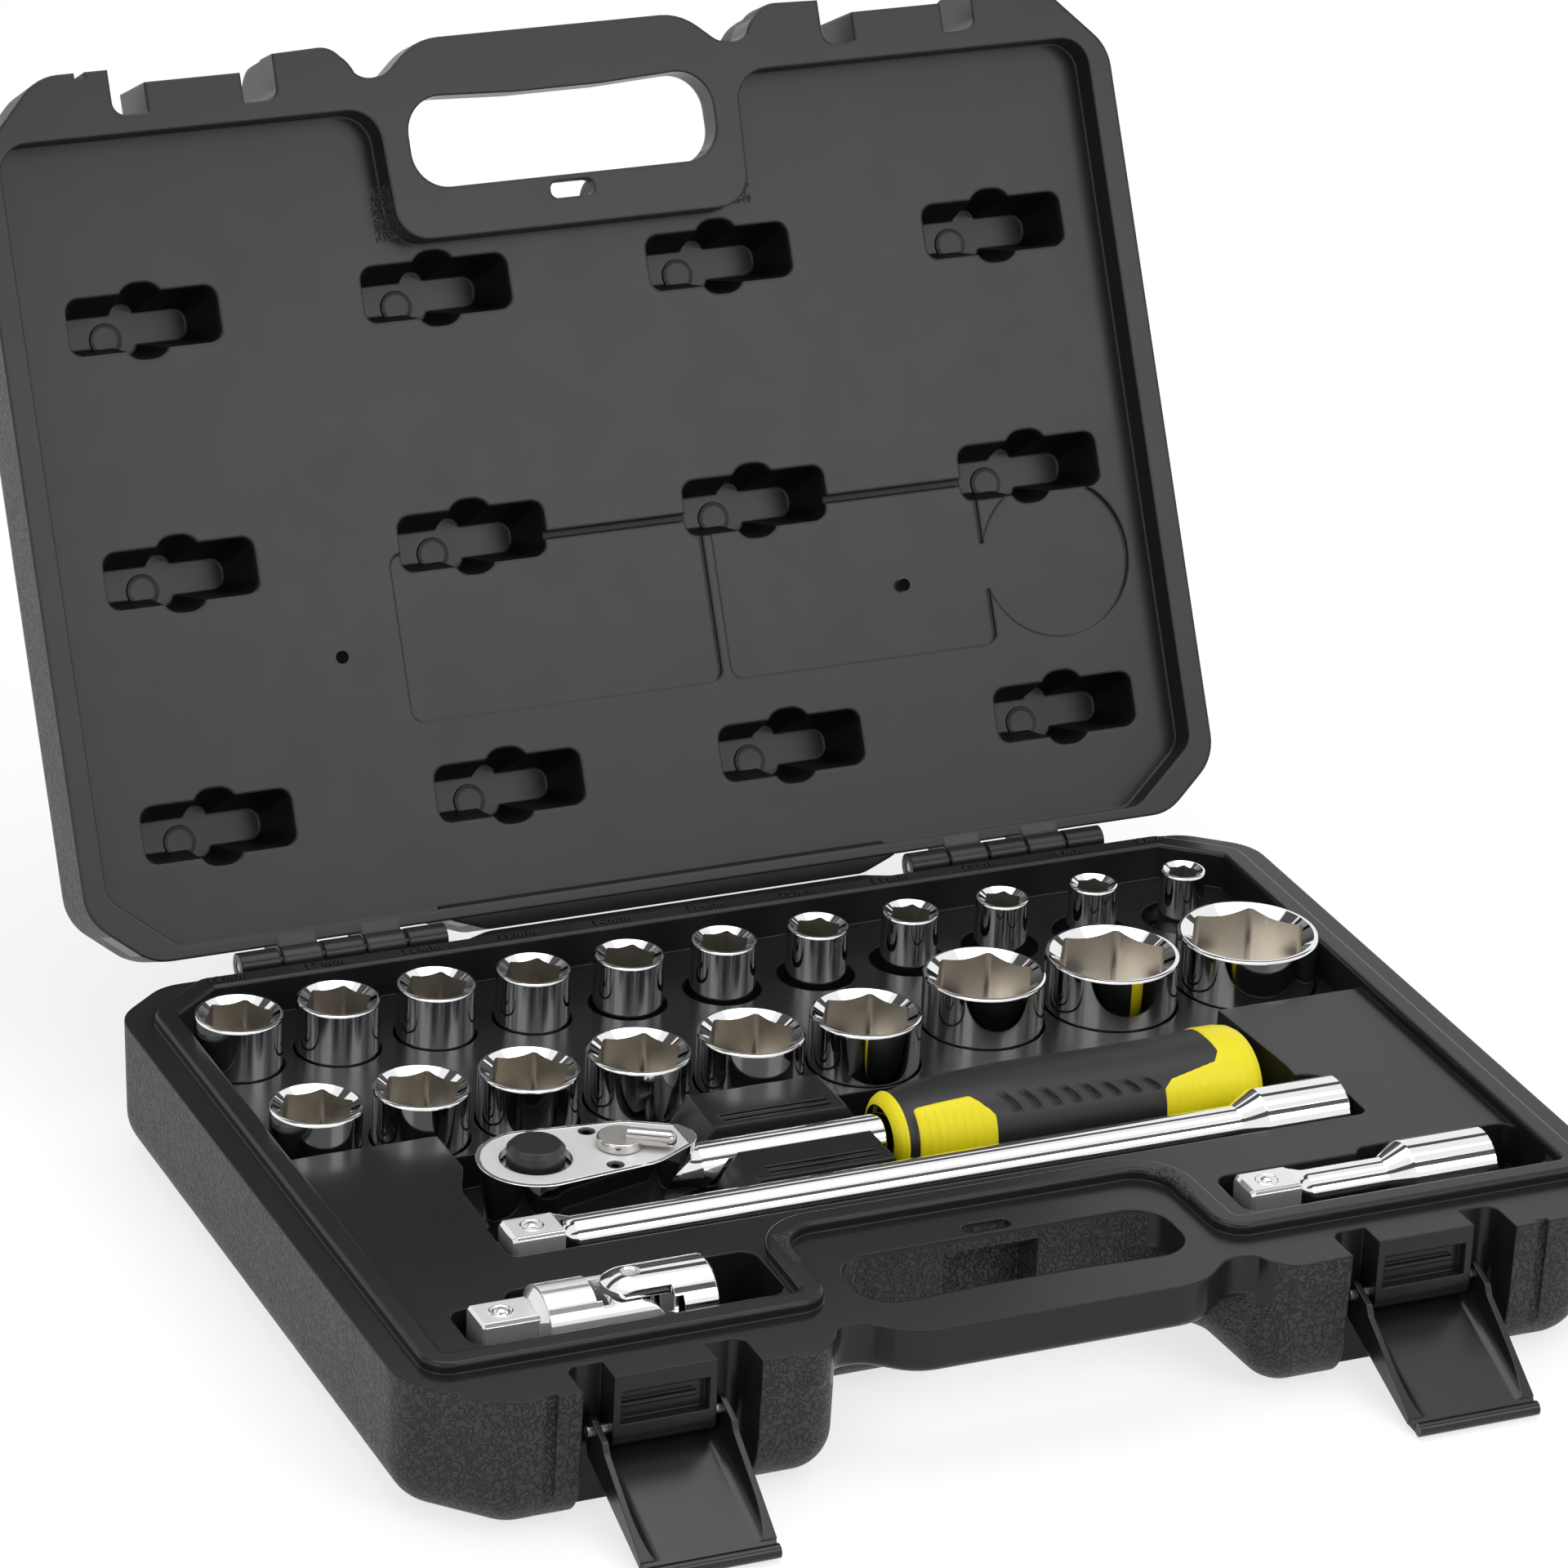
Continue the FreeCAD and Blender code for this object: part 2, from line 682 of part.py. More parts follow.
def latch_block(side, height, low, pin_end):
    """Block that a latch straddles, between two heights, round about the pin."""
    x0 = side * latch_x - latch_block_half
    x1 = side * latch_x + latch_block_half
    body = block(x0, x1, latch_bay_back - 2, latch_block_front, low, height)
    if pin_end:
        body = body.fuse(rod(latch_block_round, x0, x1, latch_pin_reach, low))
        body = body.fuse(block(x0, x1, latch_bay_back - 2, latch_pin_reach, low - latch_block_round, low + 1))
    return body


def block_recess(side, z0, z1, rib_z):
    """Front recess of a latch block, with one cross rib left standing."""
    x0 = side * latch_x - latch_block_half + 2.2
    x1 = side * latch_x + latch_block_half - 2.2
    back = latch_block_front - 3.2
    hollow = block(x0, x1, back, latch_block_front + 5, z0, z1)
    rib = block(x0 - 1, x1 - 3, back - 1, back + 1.6, rib_z - 0.6, rib_z + 0.6)
    return hollow.cut(rib)


def knuckle(x0, reach_side, up):
    """One hinge knuckle with its web into the case wall, up = 1 lid, -1 base."""
    x1 = x0 + knuckle_length
    tube = rod(knuckle_radius, x0, x1, 0.0, rim_z)
    root = hinge_setback + 3.0
    web = side_plate(
        [
            (-knuckle_radius * 0.7, rim_z + up * knuckle_radius * 0.7),
            (knuckle_radius, rim_z),
            (root, rim_z + up * rim_gap),
            (root, rim_z + up * 13.0),
            (hinge_setback, rim_z + up * 13.0),
        ],
        x0, x1,
    )
    return tube.fuse(web)


def knuckle_starts(group):
    """Left ends of the five knuckles of one hinge group."""
    first = group * hinge_group_x - 2.5 * knuckle_length - 2 * knuckle_gap
    return [first + i * (knuckle_length + knuckle_gap) for i in range(5)]


def pin_bore(group, radius):
    starts = knuckle_starts(group)
    return rod(radius, starts[0] - 1, starts[4] + knuckle_length + 1, 0.0, rim_z)


def make_base_shell():
    body = half_with_grip(base_depth)
    body = body.fuse(seal_ring())
    cuts = [well_cut()] + seat_cuts() + ratchet_cuts() + bar_cuts()
    for cutter in cuts:
        body = body.cut(cutter)
    body = body.cut(Part.makeCompound(block_bevel_cuts()))
    for side in (-1, 1):
        pin_z = rim_z - latch_pin_drop
        body = body.fuse(latch_block(side, rim_z, pin_z, True))
        body = body.cut(block_recess(side, pin_z + 3.2, rim_z - 5.2, rim_z - 10.0))
        body = body.cut(latch_pin_bore(side))
        for i in (0, 2, 4):
            body = body.fuse(knuckle(knuckle_starts(side)[i], 0, -1))
        body = body.cut(pin_bore(side, hinge_pin_radius + running_fit))
    return body.removeSplitter()


def latch_pin_bore(side):
    half = latch_half_width + 2
    z = rim_z - latch_pin_drop
    return rod(latch_pin_radius + running_fit, side * latch_x - half, side * latch_x + half, latch_pin_reach, z)


# ---------------------------------------------------------------- lid shell
def lid_recess():
    """Inside of the lid, measured like a base with its rim at lid_depth."""
    outer = inset(mirrored(ring_half()), -ring_clearance)
    return prism(outer, lid_depth - panel_depth, lid_depth + 1)


def drafted_pocket(x, reach, wide, deep, bend, low, high):
    """Rounded pocket whose walls lean in by dimple_draft from high to low."""
    wires = []
    for lean, z in ((dimple_draft, low), (0.0, high)):
        half_x = wide / 2 - lean
        half_y = deep / 2 - lean
        radius = min(bend, half_x - 0.4, half_y - 0.4)
        corners = [
            (x - half_x, at(reach) + half_y, radius),
            (x + half_x, at(reach) + half_y, radius),
            (x + half_x, at(reach) - half_y, radius),
            (x - half_x, at(reach) - half_y, radius),
        ]
        wires.append(outline(corners, z))
    return Part.makeLoft(wires, True, True)


def dimple_places():
    for column in (-1.5, -0.5, 0.5, 1.5):
        for row in (0, 1, 2):
            yield dimple_shift + column * dimple_pitch, dimple_first_row + row * dimple_row_pitch


def lid_dimples():
    """Twelve crossed pads where the inner panel is pressed to the outer wall."""
    high = lid_depth - panel_depth
    cuts = []
    for x, reach in dimple_places():
        cuts.append(drafted_pocket(x, reach, dimple_width, dimple_reach, dimple_bend, panel_wall, high))
        cuts.append(drafted_pocket(x, reach, dimple_tab_width, dimple_tab_reach, 6.0, panel_wall, high))
    return cuts


def lid_relief():
    """Shallow relief over the large sockets, and the groove between the dimples."""
    high = lid_depth - panel_depth
    low = high - relief_depth
    half_split = relief_split_gap / 2
    bays = [(relief_first, relief_split - half_split), (relief_split + half_split, relief_last)]
    cuts = []
    for x0, x1 in bays:
        corners = [
            (x0, at(relief_back), relief_bend),
            (x1, at(relief_back), relief_bend),
            (x1, at(relief_front), relief_bend),
            (x0, at(relief_front), relief_bend),
        ]
        cuts.append(prism(corners, low, lid_depth))
    cuts.append(post(relief_round_radius, relief_round_x, tall_row_reach, low, lid_depth))
    groove_x0 = dimple_shift - dimple_pitch / 2
    groove = block(
        groove_x0, groove_x0 + 2 * dimple_pitch,
        relief_front - relief_groove_width / 2, relief_front + relief_groove_width / 2,
        high - relief_groove_depth, lid_depth,
    )
    cuts.append(groove)
    return cuts


def make_lid_shut():
    """The lid in its shut place, above the base."""
    lid = half_with_grip(lid_depth)
    lid = lid.cut(lid_recess())
    lid = lid.cut(Part.makeCompound(lid_relief()))
    for cutter in lid_dimples():
        lid = lid.cut(cutter)
    lid = lid.mirror(V(0, 0, lid_depth), Z_AXIS)
    lid.translate(V(0, 0, rim_z + rim_gap - lid_depth))
    for side in (-1, 1):
        lid = lid.fuse(latch_block(side, rim_z + lid_block_height, rim_z + rim_gap, False))
        lid = lid.cut(block_recess(side, rim_z + 5.4, rim_z + lid_block_height - 2.4, rim_z + 10.2))
        for i in (1, 3):
            lid = lid.fuse(knuckle(knuckle_starts(side)[i], 0, 1))
            lid = lid.fuse(stop_heel_shut(knuckle_starts(side)[i]))
        lid = lid.cut(pin_bore(side, hinge_pin_radius + running_fit))
    return lid.removeSplitter()


def stop_heel_shut(x0):
    """Heel that meets the base's back wall when the lid leans fully back."""
    reach = hinge_setback - stop_gap
    heel = side_plate(
        [
            (reach, rim_z),
            (reach, rim_z - stop_heel),
            (reach - 3.5, rim_z - stop_heel),
            (-knuckle_radius, rim_z),
        ],
        x0, x0 + knuckle_length,
    )
    heel.rotate(V(0, hinge_y, rim_z), X_AXIS, lid_open_angle)
    return heel


def opened(shape):
    """A lid piece turned from its shut place to its stops."""
    shape.rotate(V(0, hinge_y, rim_z), X_AXIS, -lid_open_angle)
    return shape


def make_hinge_pin(side):
    starts = knuckle_starts(side)
    return rod(hinge_pin_radius, starts[0] + 0.2, starts[4] + knuckle_length - 0.2, 0.0, rim_z)


# ---------------------------------------------------------------- latches
def latch_point(along, out):
    """A point of the open latch: along its plate, and out from the pin."""
    lean = math.radians(latch_open_angle)
    reach = latch_pin_reach + along * math.cos(lean) + out * math.sin(lean)
    z = rim_z - latch_pin_drop + along * math.sin(lean) - out * math.cos(lean)
    return reach, z


def latch_profile(points, x0, x1):
    return side_plate([latch_point(a, o) for a, o in points], x0, x1)


def latch_channel(centre):
    """Round-bottomed channel that leaves the plate and the two cheeks."""
    half = latch_half_width - latch_wall
    section = [
        (-half, -20.0, 0),
        (half, -20.0, 0),
        (half, latch_offset, latch_inner_bend),
        (-half, latch_offset, latch_inner_bend),
    ]
    channel = prism(section, -15.0, latch_length + 15.0)
    lean = math.radians(latch_open_angle)
    out = V(0, -math.sin(lean), -math.cos(lean))
    along = V(0, -math.cos(lean), math.sin(lean))
    pin_z = rim_z - latch_pin_drop
    turn = FreeCAD.Matrix(
        -1, out.x, along.x, centre,
        0, out.y, along.y, at(latch_pin_reach),
        0, out.z, along.z, pin_z,
        0, 0, 0, 1,
    )
    return channel.transformGeometry(turn)


def make_latch(side):
    centre = side * latch_x
    x0 = centre - latch_half_width
    x1 = centre + latch_half_width
    inner = latch_offset
    outer = latch_offset + latch_wall
    side_view = [
        (-1.0, latch_boss),
        (1.5, outer),
        (latch_length - 4.0, outer),
        (latch_length - 4.0, inner - 0.4),
        (10.0, -1.8),
        (7.5, -latch_boss),
        (0.0, -latch_boss),
    ]
    body = latch_profile(side_view, x0, x1)
    bosses = rod(latch_boss, x0, x1, latch_pin_reach, rim_z - latch_pin_drop)
    body = body.fuse(bosses).cut(latch_channel(centre))
    lip_x0 = x0 + latch_lip_inset
    lip_x1 = x1 - latch_lip_inset
    corners = [
        (x0, -latch_length + 4.5, 0),
        (x1, -latch_length + 4.5, 0),
        (lip_x1, -latch_length + 1.0, 0),
        (lip_x1, -latch_length, 0),
        (lip_x0, -latch_length, 0),
        (lip_x0, -latch_length + 1.0, 0),
    ]
    tongue = prism([(x - centre, y, r) for x, y, r in corners], 0.0, latch_wall)
    tongue.translate(V(centre, at(latch_pin_reach), rim_z - latch_pin_drop - outer))
    tongue.rotate(V(0, at(latch_pin_reach), rim_z - latch_pin_drop), X_AXIS, -latch_open_angle)
    lip_reach, lip_z = latch_point(latch_length, outer - latch_lip_radius)
    lip = rod(latch_lip_radius, lip_x0, lip_x1, lip_reach, lip_z)
    body = fused([body, tongue, lip])
    return body.cut(latch_pin_bore(side)).removeSplitter()


def make_latch_pin(side):
    half = latch_half_width + 1.0
    z = rim_z - latch_pin_drop
    return rod(latch_pin_radius, side * latch_x - half, side * latch_x + half, latch_pin_reach, z)


# ---------------------------------------------------------------- sockets
def polygon_prism(across_flats, sides, z0, z1, relief):
    """Upright prism with regular sides, its corners eased by a relief radius."""
    corner = across_flats / 2 / math.cos(math.pi / sides)
    points = []
    for i in range(sides):
        turn = 2 * math.pi * (i + 0.5) / sides
        points.append((corner * math.cos(turn), corner * math.sin(turn), relief))
    return prism(points, z0, z1)


def socket_profile(size):
    """Outside of a socket as (radius, z), drive end at z = 0."""
    mouth = socket_outside(size) / 2
    top = socket_length
    if mouth * 2 < drive_end_min:
        low = drive_end_min / 2
        shoulder = drive_end_length + neck_taper
    elif size >= min(socket_sizes_tall):
        low = drive_end_tall / 2
        shoulder = drive_end_length + neck_taper
    else:
        low = mouth
        shoulder = drive_end_length
    profile = [(0, 0), (low - socket_edge, 0), (low, socket_edge)]
    if abs(low - mouth) > 0.01:
        profile += [(low, drive_end_length), (mouth, shoulder)]
    profile += [(mouth, top - socket_edge), (mouth - socket_edge, top), (0, top)]
    return profile


def make_socket(size):
    body = turned(socket_profile(size))
    flats = size + hex_clearance
    top = socket_length
    floor = top - hex_depth
    hexagon = polygon_prism(flats, 6, floor, top + 1, hex_relief * size)
    corner = flats / 2 / math.cos(math.pi / 6)
    lead = Part.makeCone(flats / 2 - 0.3, corner + 0.2, hex_lead, V(0, 0, top - hex_lead), Z_AXIS)
    square = polygon_prism(square_size + square_clearance, 4, -1, square_depth, 1.0)
    through = Part.makeCylinder(min(flats / 2 - 0.6, 6.0), top, V(0, 0, 0), Z_AXIS)
    body = body.cut(hexagon).cut(lead).cut(square).cut(through)
    return body


def placed_sockets():
    for size, x, reach in socket_places():
        body = make_socket(size)
        body.translate(V(x, at(reach), rim_z + socket_top - socket_length))
        yield size, body


# ---------------------------------------------------------------- bars
def male_square(x0, length, reach, z):
    """Drive square along X with eased edges and end."""
    half = square_size / 2
    box = Part.makeBox(length, square_size, square_size, V(x0, at(reach) - half, z - half))
    long_edges = edges_where(box, lambda b: b.XLength > length - 0.1)
    box = box.makeChamfer(1.0, long_edges)
    ends = edges_where(box, lambda b: b.XMax < x0 + 0.01)
    return box.makeChamfer(0.7, ends)


def detent_hole(x, reach, z):
    """Blind hole for the detent ball in the top flat of a drive square."""
    depth = 5.0
    top = z + square_size / 2
    return Part.makeCylinder(detent_radius + 0.15, depth + 1, V(x, at(reach), top - depth), Z_AXIS)


def make_detent_ball(x, reach, z):
    """Ball that stands a little out of the drive square."""
    top = z + square_size / 2
    return Part.makeSphere(detent_radius, V(x, at(reach), top - detent_radius + 0.9))


def make_bar(left, length, reach):
    """Extension bar along X: drive square, shank, taper and socket end."""
    z = rim_z - bar_drop
    right = left + length
    shank_x = left + bar_square_length + bar_neck_taper
    taper_x = right - bar_socket_length - bar_taper
    square = male_square(left, bar_square_length + 3, reach, z)
    neck = Part.makeCone(
        bar_radius + 1.6, bar_radius, bar_neck_taper, V(left + bar_square_length, at(reach), z), X_AXIS
    )
    flat = square_size / 2
    neck = neck.common(Part.makeBox(20, 2 * flat, 2 * flat, V(left + 5, at(reach) - flat, z - flat)))
    shank = rod(bar_radius, shank_x - 1, taper_x, reach, z)
    taper = Part.makeCone(bar_radius, bar_socket_radius, bar_taper, V(taper_x, at(reach), z), X_AXIS)
    end = rod(bar_socket_radius, taper_x + bar_taper, right, reach, z)
    end = end.makeChamfer(0.8, edges_where(end, lambda box: box.XMin > right - 0.01))
    body = fused([square, neck, shank, taper, end])
    body = body.cut(square_hole(right, -16.0, reach, z))
    return body.cut(detent_hole(left + 7.5, reach, z))


def square_hole(x, depth, reach, z):
    """Drive square hole that opens at x and runs depth along X."""
    side = square_size + square_clearance
    x0 = min(x, x + depth) - (0 if depth < 0 else 1)
    return Part.makeBox(abs(depth) + 1, side, side, V(x0, at(reach) - side / 2, z - side / 2))


# ---------------------------------------------------------------- universal joint
def ear_trim(x0, x1, upright):
    """Cutter that leaves fork ears no wider than arm_round to each side."""
    z = rim_z - bar_drop
    wide = 2 * arm_round
    length = x1 - x0
    outer = Part.makeBox(length, 40, 40, V(x0, at(front_tools_reach) - 20, z - 20))
    if upright:
        kept = Part.makeBox(length + 2, wide, 50, V(x0 - 1, at(front_tools_reach) - wide / 2, z - 25))
    else:
        kept = Part.makeBox(length + 2, 50, wide, V(x0 - 1, at(front_tools_reach) - 25, z - wide / 2))
    return outer.cut(kept)


def joint_bore(axis):
    """Bore through both ears of a fork for the cross's journals."""
    half = 30.0
    centre = V(joint_cross_x, at(front_tools_reach), rim_z - bar_drop)
    return Part.makeCylinder(joint_pin_radius + running_fit, 2 * half, centre - axis * half, axis)


def make_joint_drive():
    """Square-ended half of the universal joint, its fork ears at front and back."""
    z = rim_z - bar_drop
    reach = front_tools_reach
    ear_end = joint_cross_x + arm_round
    body_x = joint_left + bar_square_length + 3.0
    collar = Part.makeCone(7.6, joint_radius - 0.8, 2.2, V(body_x - 2.2, at(reach), z), X_AXIS)
    body = rod(joint_radius, body_x, ear_end, reach, z)
    crotch_x = joint_cross_x - joint_crotch
    half = joint_fork_gap / 2
    slot = block(crotch_x, ear_end + 1, reach - half, reach + half, z - 20, z + 20)
    nose_keep = Part.makeCylinder(arm_round, 50, V(joint_cross_x, at(reach) - 25, z), Y_AXIS)
    nose_box = Part.makeBox(arm_round + 2, 50, 50, V(joint_cross_x, at(reach) - 25, z - 25))
    body = body.cut(slot).cut(ear_trim(crotch_x + 1.5, ear_end + 1, False)).cut(nose_box.cut(nose_keep))
    square = male_square(joint_left, bar_square_length + 5, reach, z)
    whole = fused([body, square, collar])
    whole = whole.cut(joint_bore(Y_AXIS))
    return whole.cut(detent_hole(joint_left + 7.5, reach, z))


def make_joint_socket():
    """Socket-ended half of the universal joint, its fork ears above and below."""
    z = rim_z - bar_drop
    reach = front_tools_reach
    right = joint_left + joint_length
    ear_end = joint_cross_x - joint_bore_radius
    crotch_x = joint_cross_x + joint_crotch - 0.5
    body = rod(joint_bore_radius, ear_end, right, reach, z)
    body = body.makeChamfer(0.8, edges_where(body, lambda box: box.XMin > right - 0.01))
    half = joint_fork_gap / 2
    slot = block(ear_end - 1, crotch_x, reach - 20, reach + 20, z - half, z + half)
    nose_keep = Part.makeSphere(joint_bore_radius, V(joint_cross_x, at(reach), z))
    nose_box = Part.makeBox(joint_bore_radius + 2, 50, 50, V(ear_end - 2, at(reach) - 25, z - 25))
    body = body.cut(slot).cut(ear_trim(ear_end - 1, crotch_x - 2.5, True)).cut(nose_box.cut(nose_keep))
    round_keep = Part.makeCylinder(arm_round + 1.0, 50, V(joint_cross_x, at(reach), z - 25), Z_AXIS)
    body = body.cut(nose_box.cut(round_keep))
    body = body.cut(square_hole(right, crotch_x - right - 1, reach, z))
    return body.cut(joint_bore(Z_AXIS))


def make_joint_cross():
    """Centre block and the four journals of the universal joint."""
    z = rim_z - bar_drop
    centre = V(joint_cross_x, at(front_tools_reach), z)
    half = joint_fork_gap / 2 - 0.4
    cube = Part.makeBox(2 * half, 2 * half, 2 * half, centre - V(half, half, half))
    ball = Part.makeSphere(half * 1.25, centre)
    core = cube.common(ball)
    across = Part.makeCylinder(joint_pin_radius, 2 * joint_radius - 1.2, centre - V(0, joint_radius - 0.6, 0), Y_AXIS)
    upright = Part.makeCylinder(
        joint_pin_radius, 2 * joint_bore_radius - 1.2, centre - V(0, 0, joint_bore_radius - 0.6), Z_AXIS
    )
    return fused([core, across, upright])


# ---------------------------------------------------------------- ratchet
def head_outline(shrink):
    """Teardrop outline of the ratchet's head as a wire at z = 0."""
    circles = [
        (head_x, head_radius - shrink),
        (head_neck_x, head_neck_radius - shrink),
        (head_tip_x, head_tip_radius - shrink),
    ]
    return circles


def tangent_points(c0, r0, c1, r1):
    """Upper tangent points of two circles on the X axis."""
    lean = math.acos((r0 - r1) / (c1 - c0))
    return (
        (c0 + r0 * math.cos(lean), r0 * math.sin(lean)),
        (c1 + r1 * math.cos(lean), r1 * math.sin(lean)),
    )


def head_face(shrink, z):
    (c0, r0), (c1, r1), (c2, r2) = head_outline(shrink)
    a, b = tangent_points(c0, r0, c1, r1)
    c, d = tangent_points(c1, r1, c2, r2)
    y = at(ratchet_reach)
    up = [V(x, y + h, z) for x, h in (a, b, c, d)]
    down = [V(x, y - h, z) for x, h in (a, b, c, d)]
    mid_angle = 0.5 * (math.atan2(b[1], b[0] - c1) + math.atan2(c[1], c[0] - c1))
    mid_up = V(c1 + r1 * math.cos(mid_angle), y + r1 * math.sin(mid_angle), z)
    mid_down = V(mid_up.x, 2 * y - mid_up.y, z)
    edges = [
        Part.Arc(up[0], V(c0 - r0, y, z), down[0]).toShape(),
        Part.LineSegment(down[0], down[1]).toShape(),
        Part.Arc(down[1], mid_down, down[2]).toShape(),
        Part.LineSegment(down[2], down[3]).toShape(),
        Part.Arc(down[3], V(c2 + r2, y, z), up[3]).toShape(),
        Part.LineSegment(up[3], up[2]).toShape(),
        Part.Arc(up[2], mid_up, up[1]).toShape(),
        Part.LineSegment(up[1], up[0]).toShape(),
    ]
    return Part.Face(Part.Wire(edges))


def make_ratchet_body():
    """Forged head and shank with the cavity for the gear and pawl."""
    bottom = rim_z + head_bottom
    top = rim_z + head_top
    axis_z = rim_z - ratchet_drop
    rim_top = top + plate_thick
    head = Part.makeLoft([head_face(head_taper, bottom).OuterWire, head_face(0.0, rim_top).OuterWire], True, True)
    head = head.makeFillet(3.0, edges_where(head, lambda box: box.ZMax < bottom + 0.01))
    neck = Part.makeCone(9.6, shank_radius, 14.0, V(head_tip_x - 6, at(ratchet_reach), axis_z), X_AXIS)
    shank = rod(shank_radius, head_tip_x + 7, shank_end, ratchet_reach, axis_z)
    tang = rod(shank_radius - 1.5, shank_end - 1, shank_tang, ratchet_reach, axis_z)
    neck = neck.common(block(-half_width, half_width, 0, front_reach, 0, rim_top))
    body = fused([head, neck, shank, tang]).cut(plate_blank(plate_inset - plate_fit, plate_fit, 2 * plate_thick))
    gear_floor = gear_base_z() - gear_cavity_clearance
    gear_hole = post(gear_tip + gear_cavity_clearance, gear_x, ratchet_reach, gear_floor, top + 1)
    drive_hole = post(gear_hub_radius + running_fit, gear_x, ratchet_reach, bottom - 1, gear_floor + 1)
    pawl_hole = pawl_shape(gear_cavity_clearance, gear_floor, top + 1)
    lever_hole = post(lever_shaft_radius + 2.2, lever_x, ratchet_reach, gear_floor, top + 1)
    body = body.cut(gear_hole).cut(drive_hole).cut(pawl_hole).cut(lever_hole)
    for sign in (-1, 1):
        body = body.cut(post(screw_shank_radius + running_fit, screw_x, ratchet_reach + sign * screw_spacing / 2, top - 7, top + 1))
    return body


def gear_base_z():
    return rim_z + head_top - gear_thick - 1.0


def plate_blank(shrink, end_gap, thick):
    """Outline of the cover plate as a solid on its seat, thick mm high."""
    low = rim_z + head_top
    blank = head_face(shrink, low).extrude(V(0, 0, thick))
    return blank.common(block(-half_width, head_tip_x + 3.5 + end_gap, 0, front_reach, 0, low + thick))


def gear_outline(z, grow=0.0):
    """Fine ratchet teeth, symmetric because the pawl works both ways."""
    points = []
    y = at(ratchet_reach)
    for i in range(gear_teeth):
        for part, radius in ((0.0, gear_root + grow), (0.5, gear_tip + grow)):
            turn = 2 * math.pi * (i + part) / gear_teeth
            points.append(V(gear_x + radius * math.cos(turn), y + radius * math.sin(turn), z))
    return Part.makePolygon(points + [points[0]])


def make_drive_gear():
    """Ratchet gear with its hub, drive square and plunger bore in one piece."""
    low = gear_base_z()
    top = rim_z + head_top + plate_thick
    gear = Part.Face(gear_outline(low)).extrude(V(0, 0, gear_thick))
    bottom = rim_z + head_bottom
    hub = post(gear_hub_radius, gear_x, ratchet_reach, bottom - 1.5, low + 1)
    half = square_size / 2
    square = Part.makeBox(
        square_size, square_size, drive_reach + 1, V(gear_x - half, at(ratchet_reach) - half, bottom - drive_reach)
    )
    square = square.makeChamfer(1.0, edges_where(square, lambda box: box.ZLength > drive_reach))
    square = square.makeChamfer(0.7, edges_where(square, lambda box: box.ZMax < bottom - drive_reach + 0.01))
    body = fused([gear, hub, square])
    bore = post(plunger_radius + running_fit, gear_x, ratchet_reach, bottom - drive_reach + 3, top + 1)
    seat = post(button_radius - 3.2, gear_x, ratchet_reach, top - 6.5, top + 1)
    dish_floor = top - button_skirt - button_travel - 0.5
    dish = post(button_radius + 0.3, gear_x, ratchet_reach, dish_floor, top + 1)
    ball_hole = Part.makeCylinder(
        detent_radius + 0.1, half + 1, V(gear_x - half - 1, at(ratchet_reach), bottom - 8.0), X_AXIS
    )
    return body.cut(bore).cut(seat).cut(dish).cut(ball_hole)


def pawl_shape(grow, z0, z1):
    """Block between the gear and the lever that the pawl is cut from."""
    half = 7.0 + grow
    x0 = gear_x + gear_root * 0.65 - grow
    x1 = lever_x - 3.2 + grow
    return block(x0, x1, ratchet_reach - half, ratchet_reach + half, z0, z1)


def make_pawl():
    """Pawl with a row of teeth in mesh with the gear."""
    low = gear_base_z() + 0.3
    body = pawl_shape(0.0, low, low + gear_thick - 0.8)
    gear = Part.Face(gear_outline(low - 1, tooth_clearance)).extrude(V(0, 0, gear_thick + 2))
    body = body.cut(gear)
    spring_seat = Part.makeCylinder(1.7, 5.0, V(lever_x - 3.2 - 4.5, at(ratchet_reach), low + gear_thick / 2), X_AXIS)
    return body.cut(spring_seat)


def make_cover_plate():
    """Satin plate let into the head's rim, with holes for button, lever and screws."""
    low = rim_z + head_top
    plate = plate_blank(plate_inset, 0.0, plate_thick)
    plate = plate.cut(post(gear_window, gear_x, ratchet_reach, low - 1, low + plate_thick + 1))
    plate = plate.cut(post(lever_shaft_radius + 0.1, lever_x, ratchet_reach, low - 1, low + plate_thick + 1))
    for sign in (-1, 1):
        reach = ratchet_reach + sign * screw_spacing / 2
        plate = plate.cut(post(screw_shank_radius + running_fit, screw_x, reach, low - 1, low + plate_thick + 1))
        plate = plate.cut(post(screw_head_radius + 0.15, screw_x, reach, low + 0.9, low + plate_thick + 1))
    return plate


def make_plate_screws():
    low = rim_z + head_top
    screws = []
    for sign in (-1, 1):
        reach = ratchet_reach + sign * screw_spacing / 2
        head = post(screw_head_radius, screw_x, reach, low + 1.0, low + plate_thick - 0.5)
        shank = post(screw_shank_radius, screw_x, reach, low - 6.5, low + 1.5)
        drive = polygon_prism(2.2, 6, 0, 3, 0)
        drive.translate(V(screw_x, at(reach), low + plate_thick - 1.6))
        screws.append(head.fuse(shank).cut(drive).removeSplitter())
    return Part.makeCompound(screws)


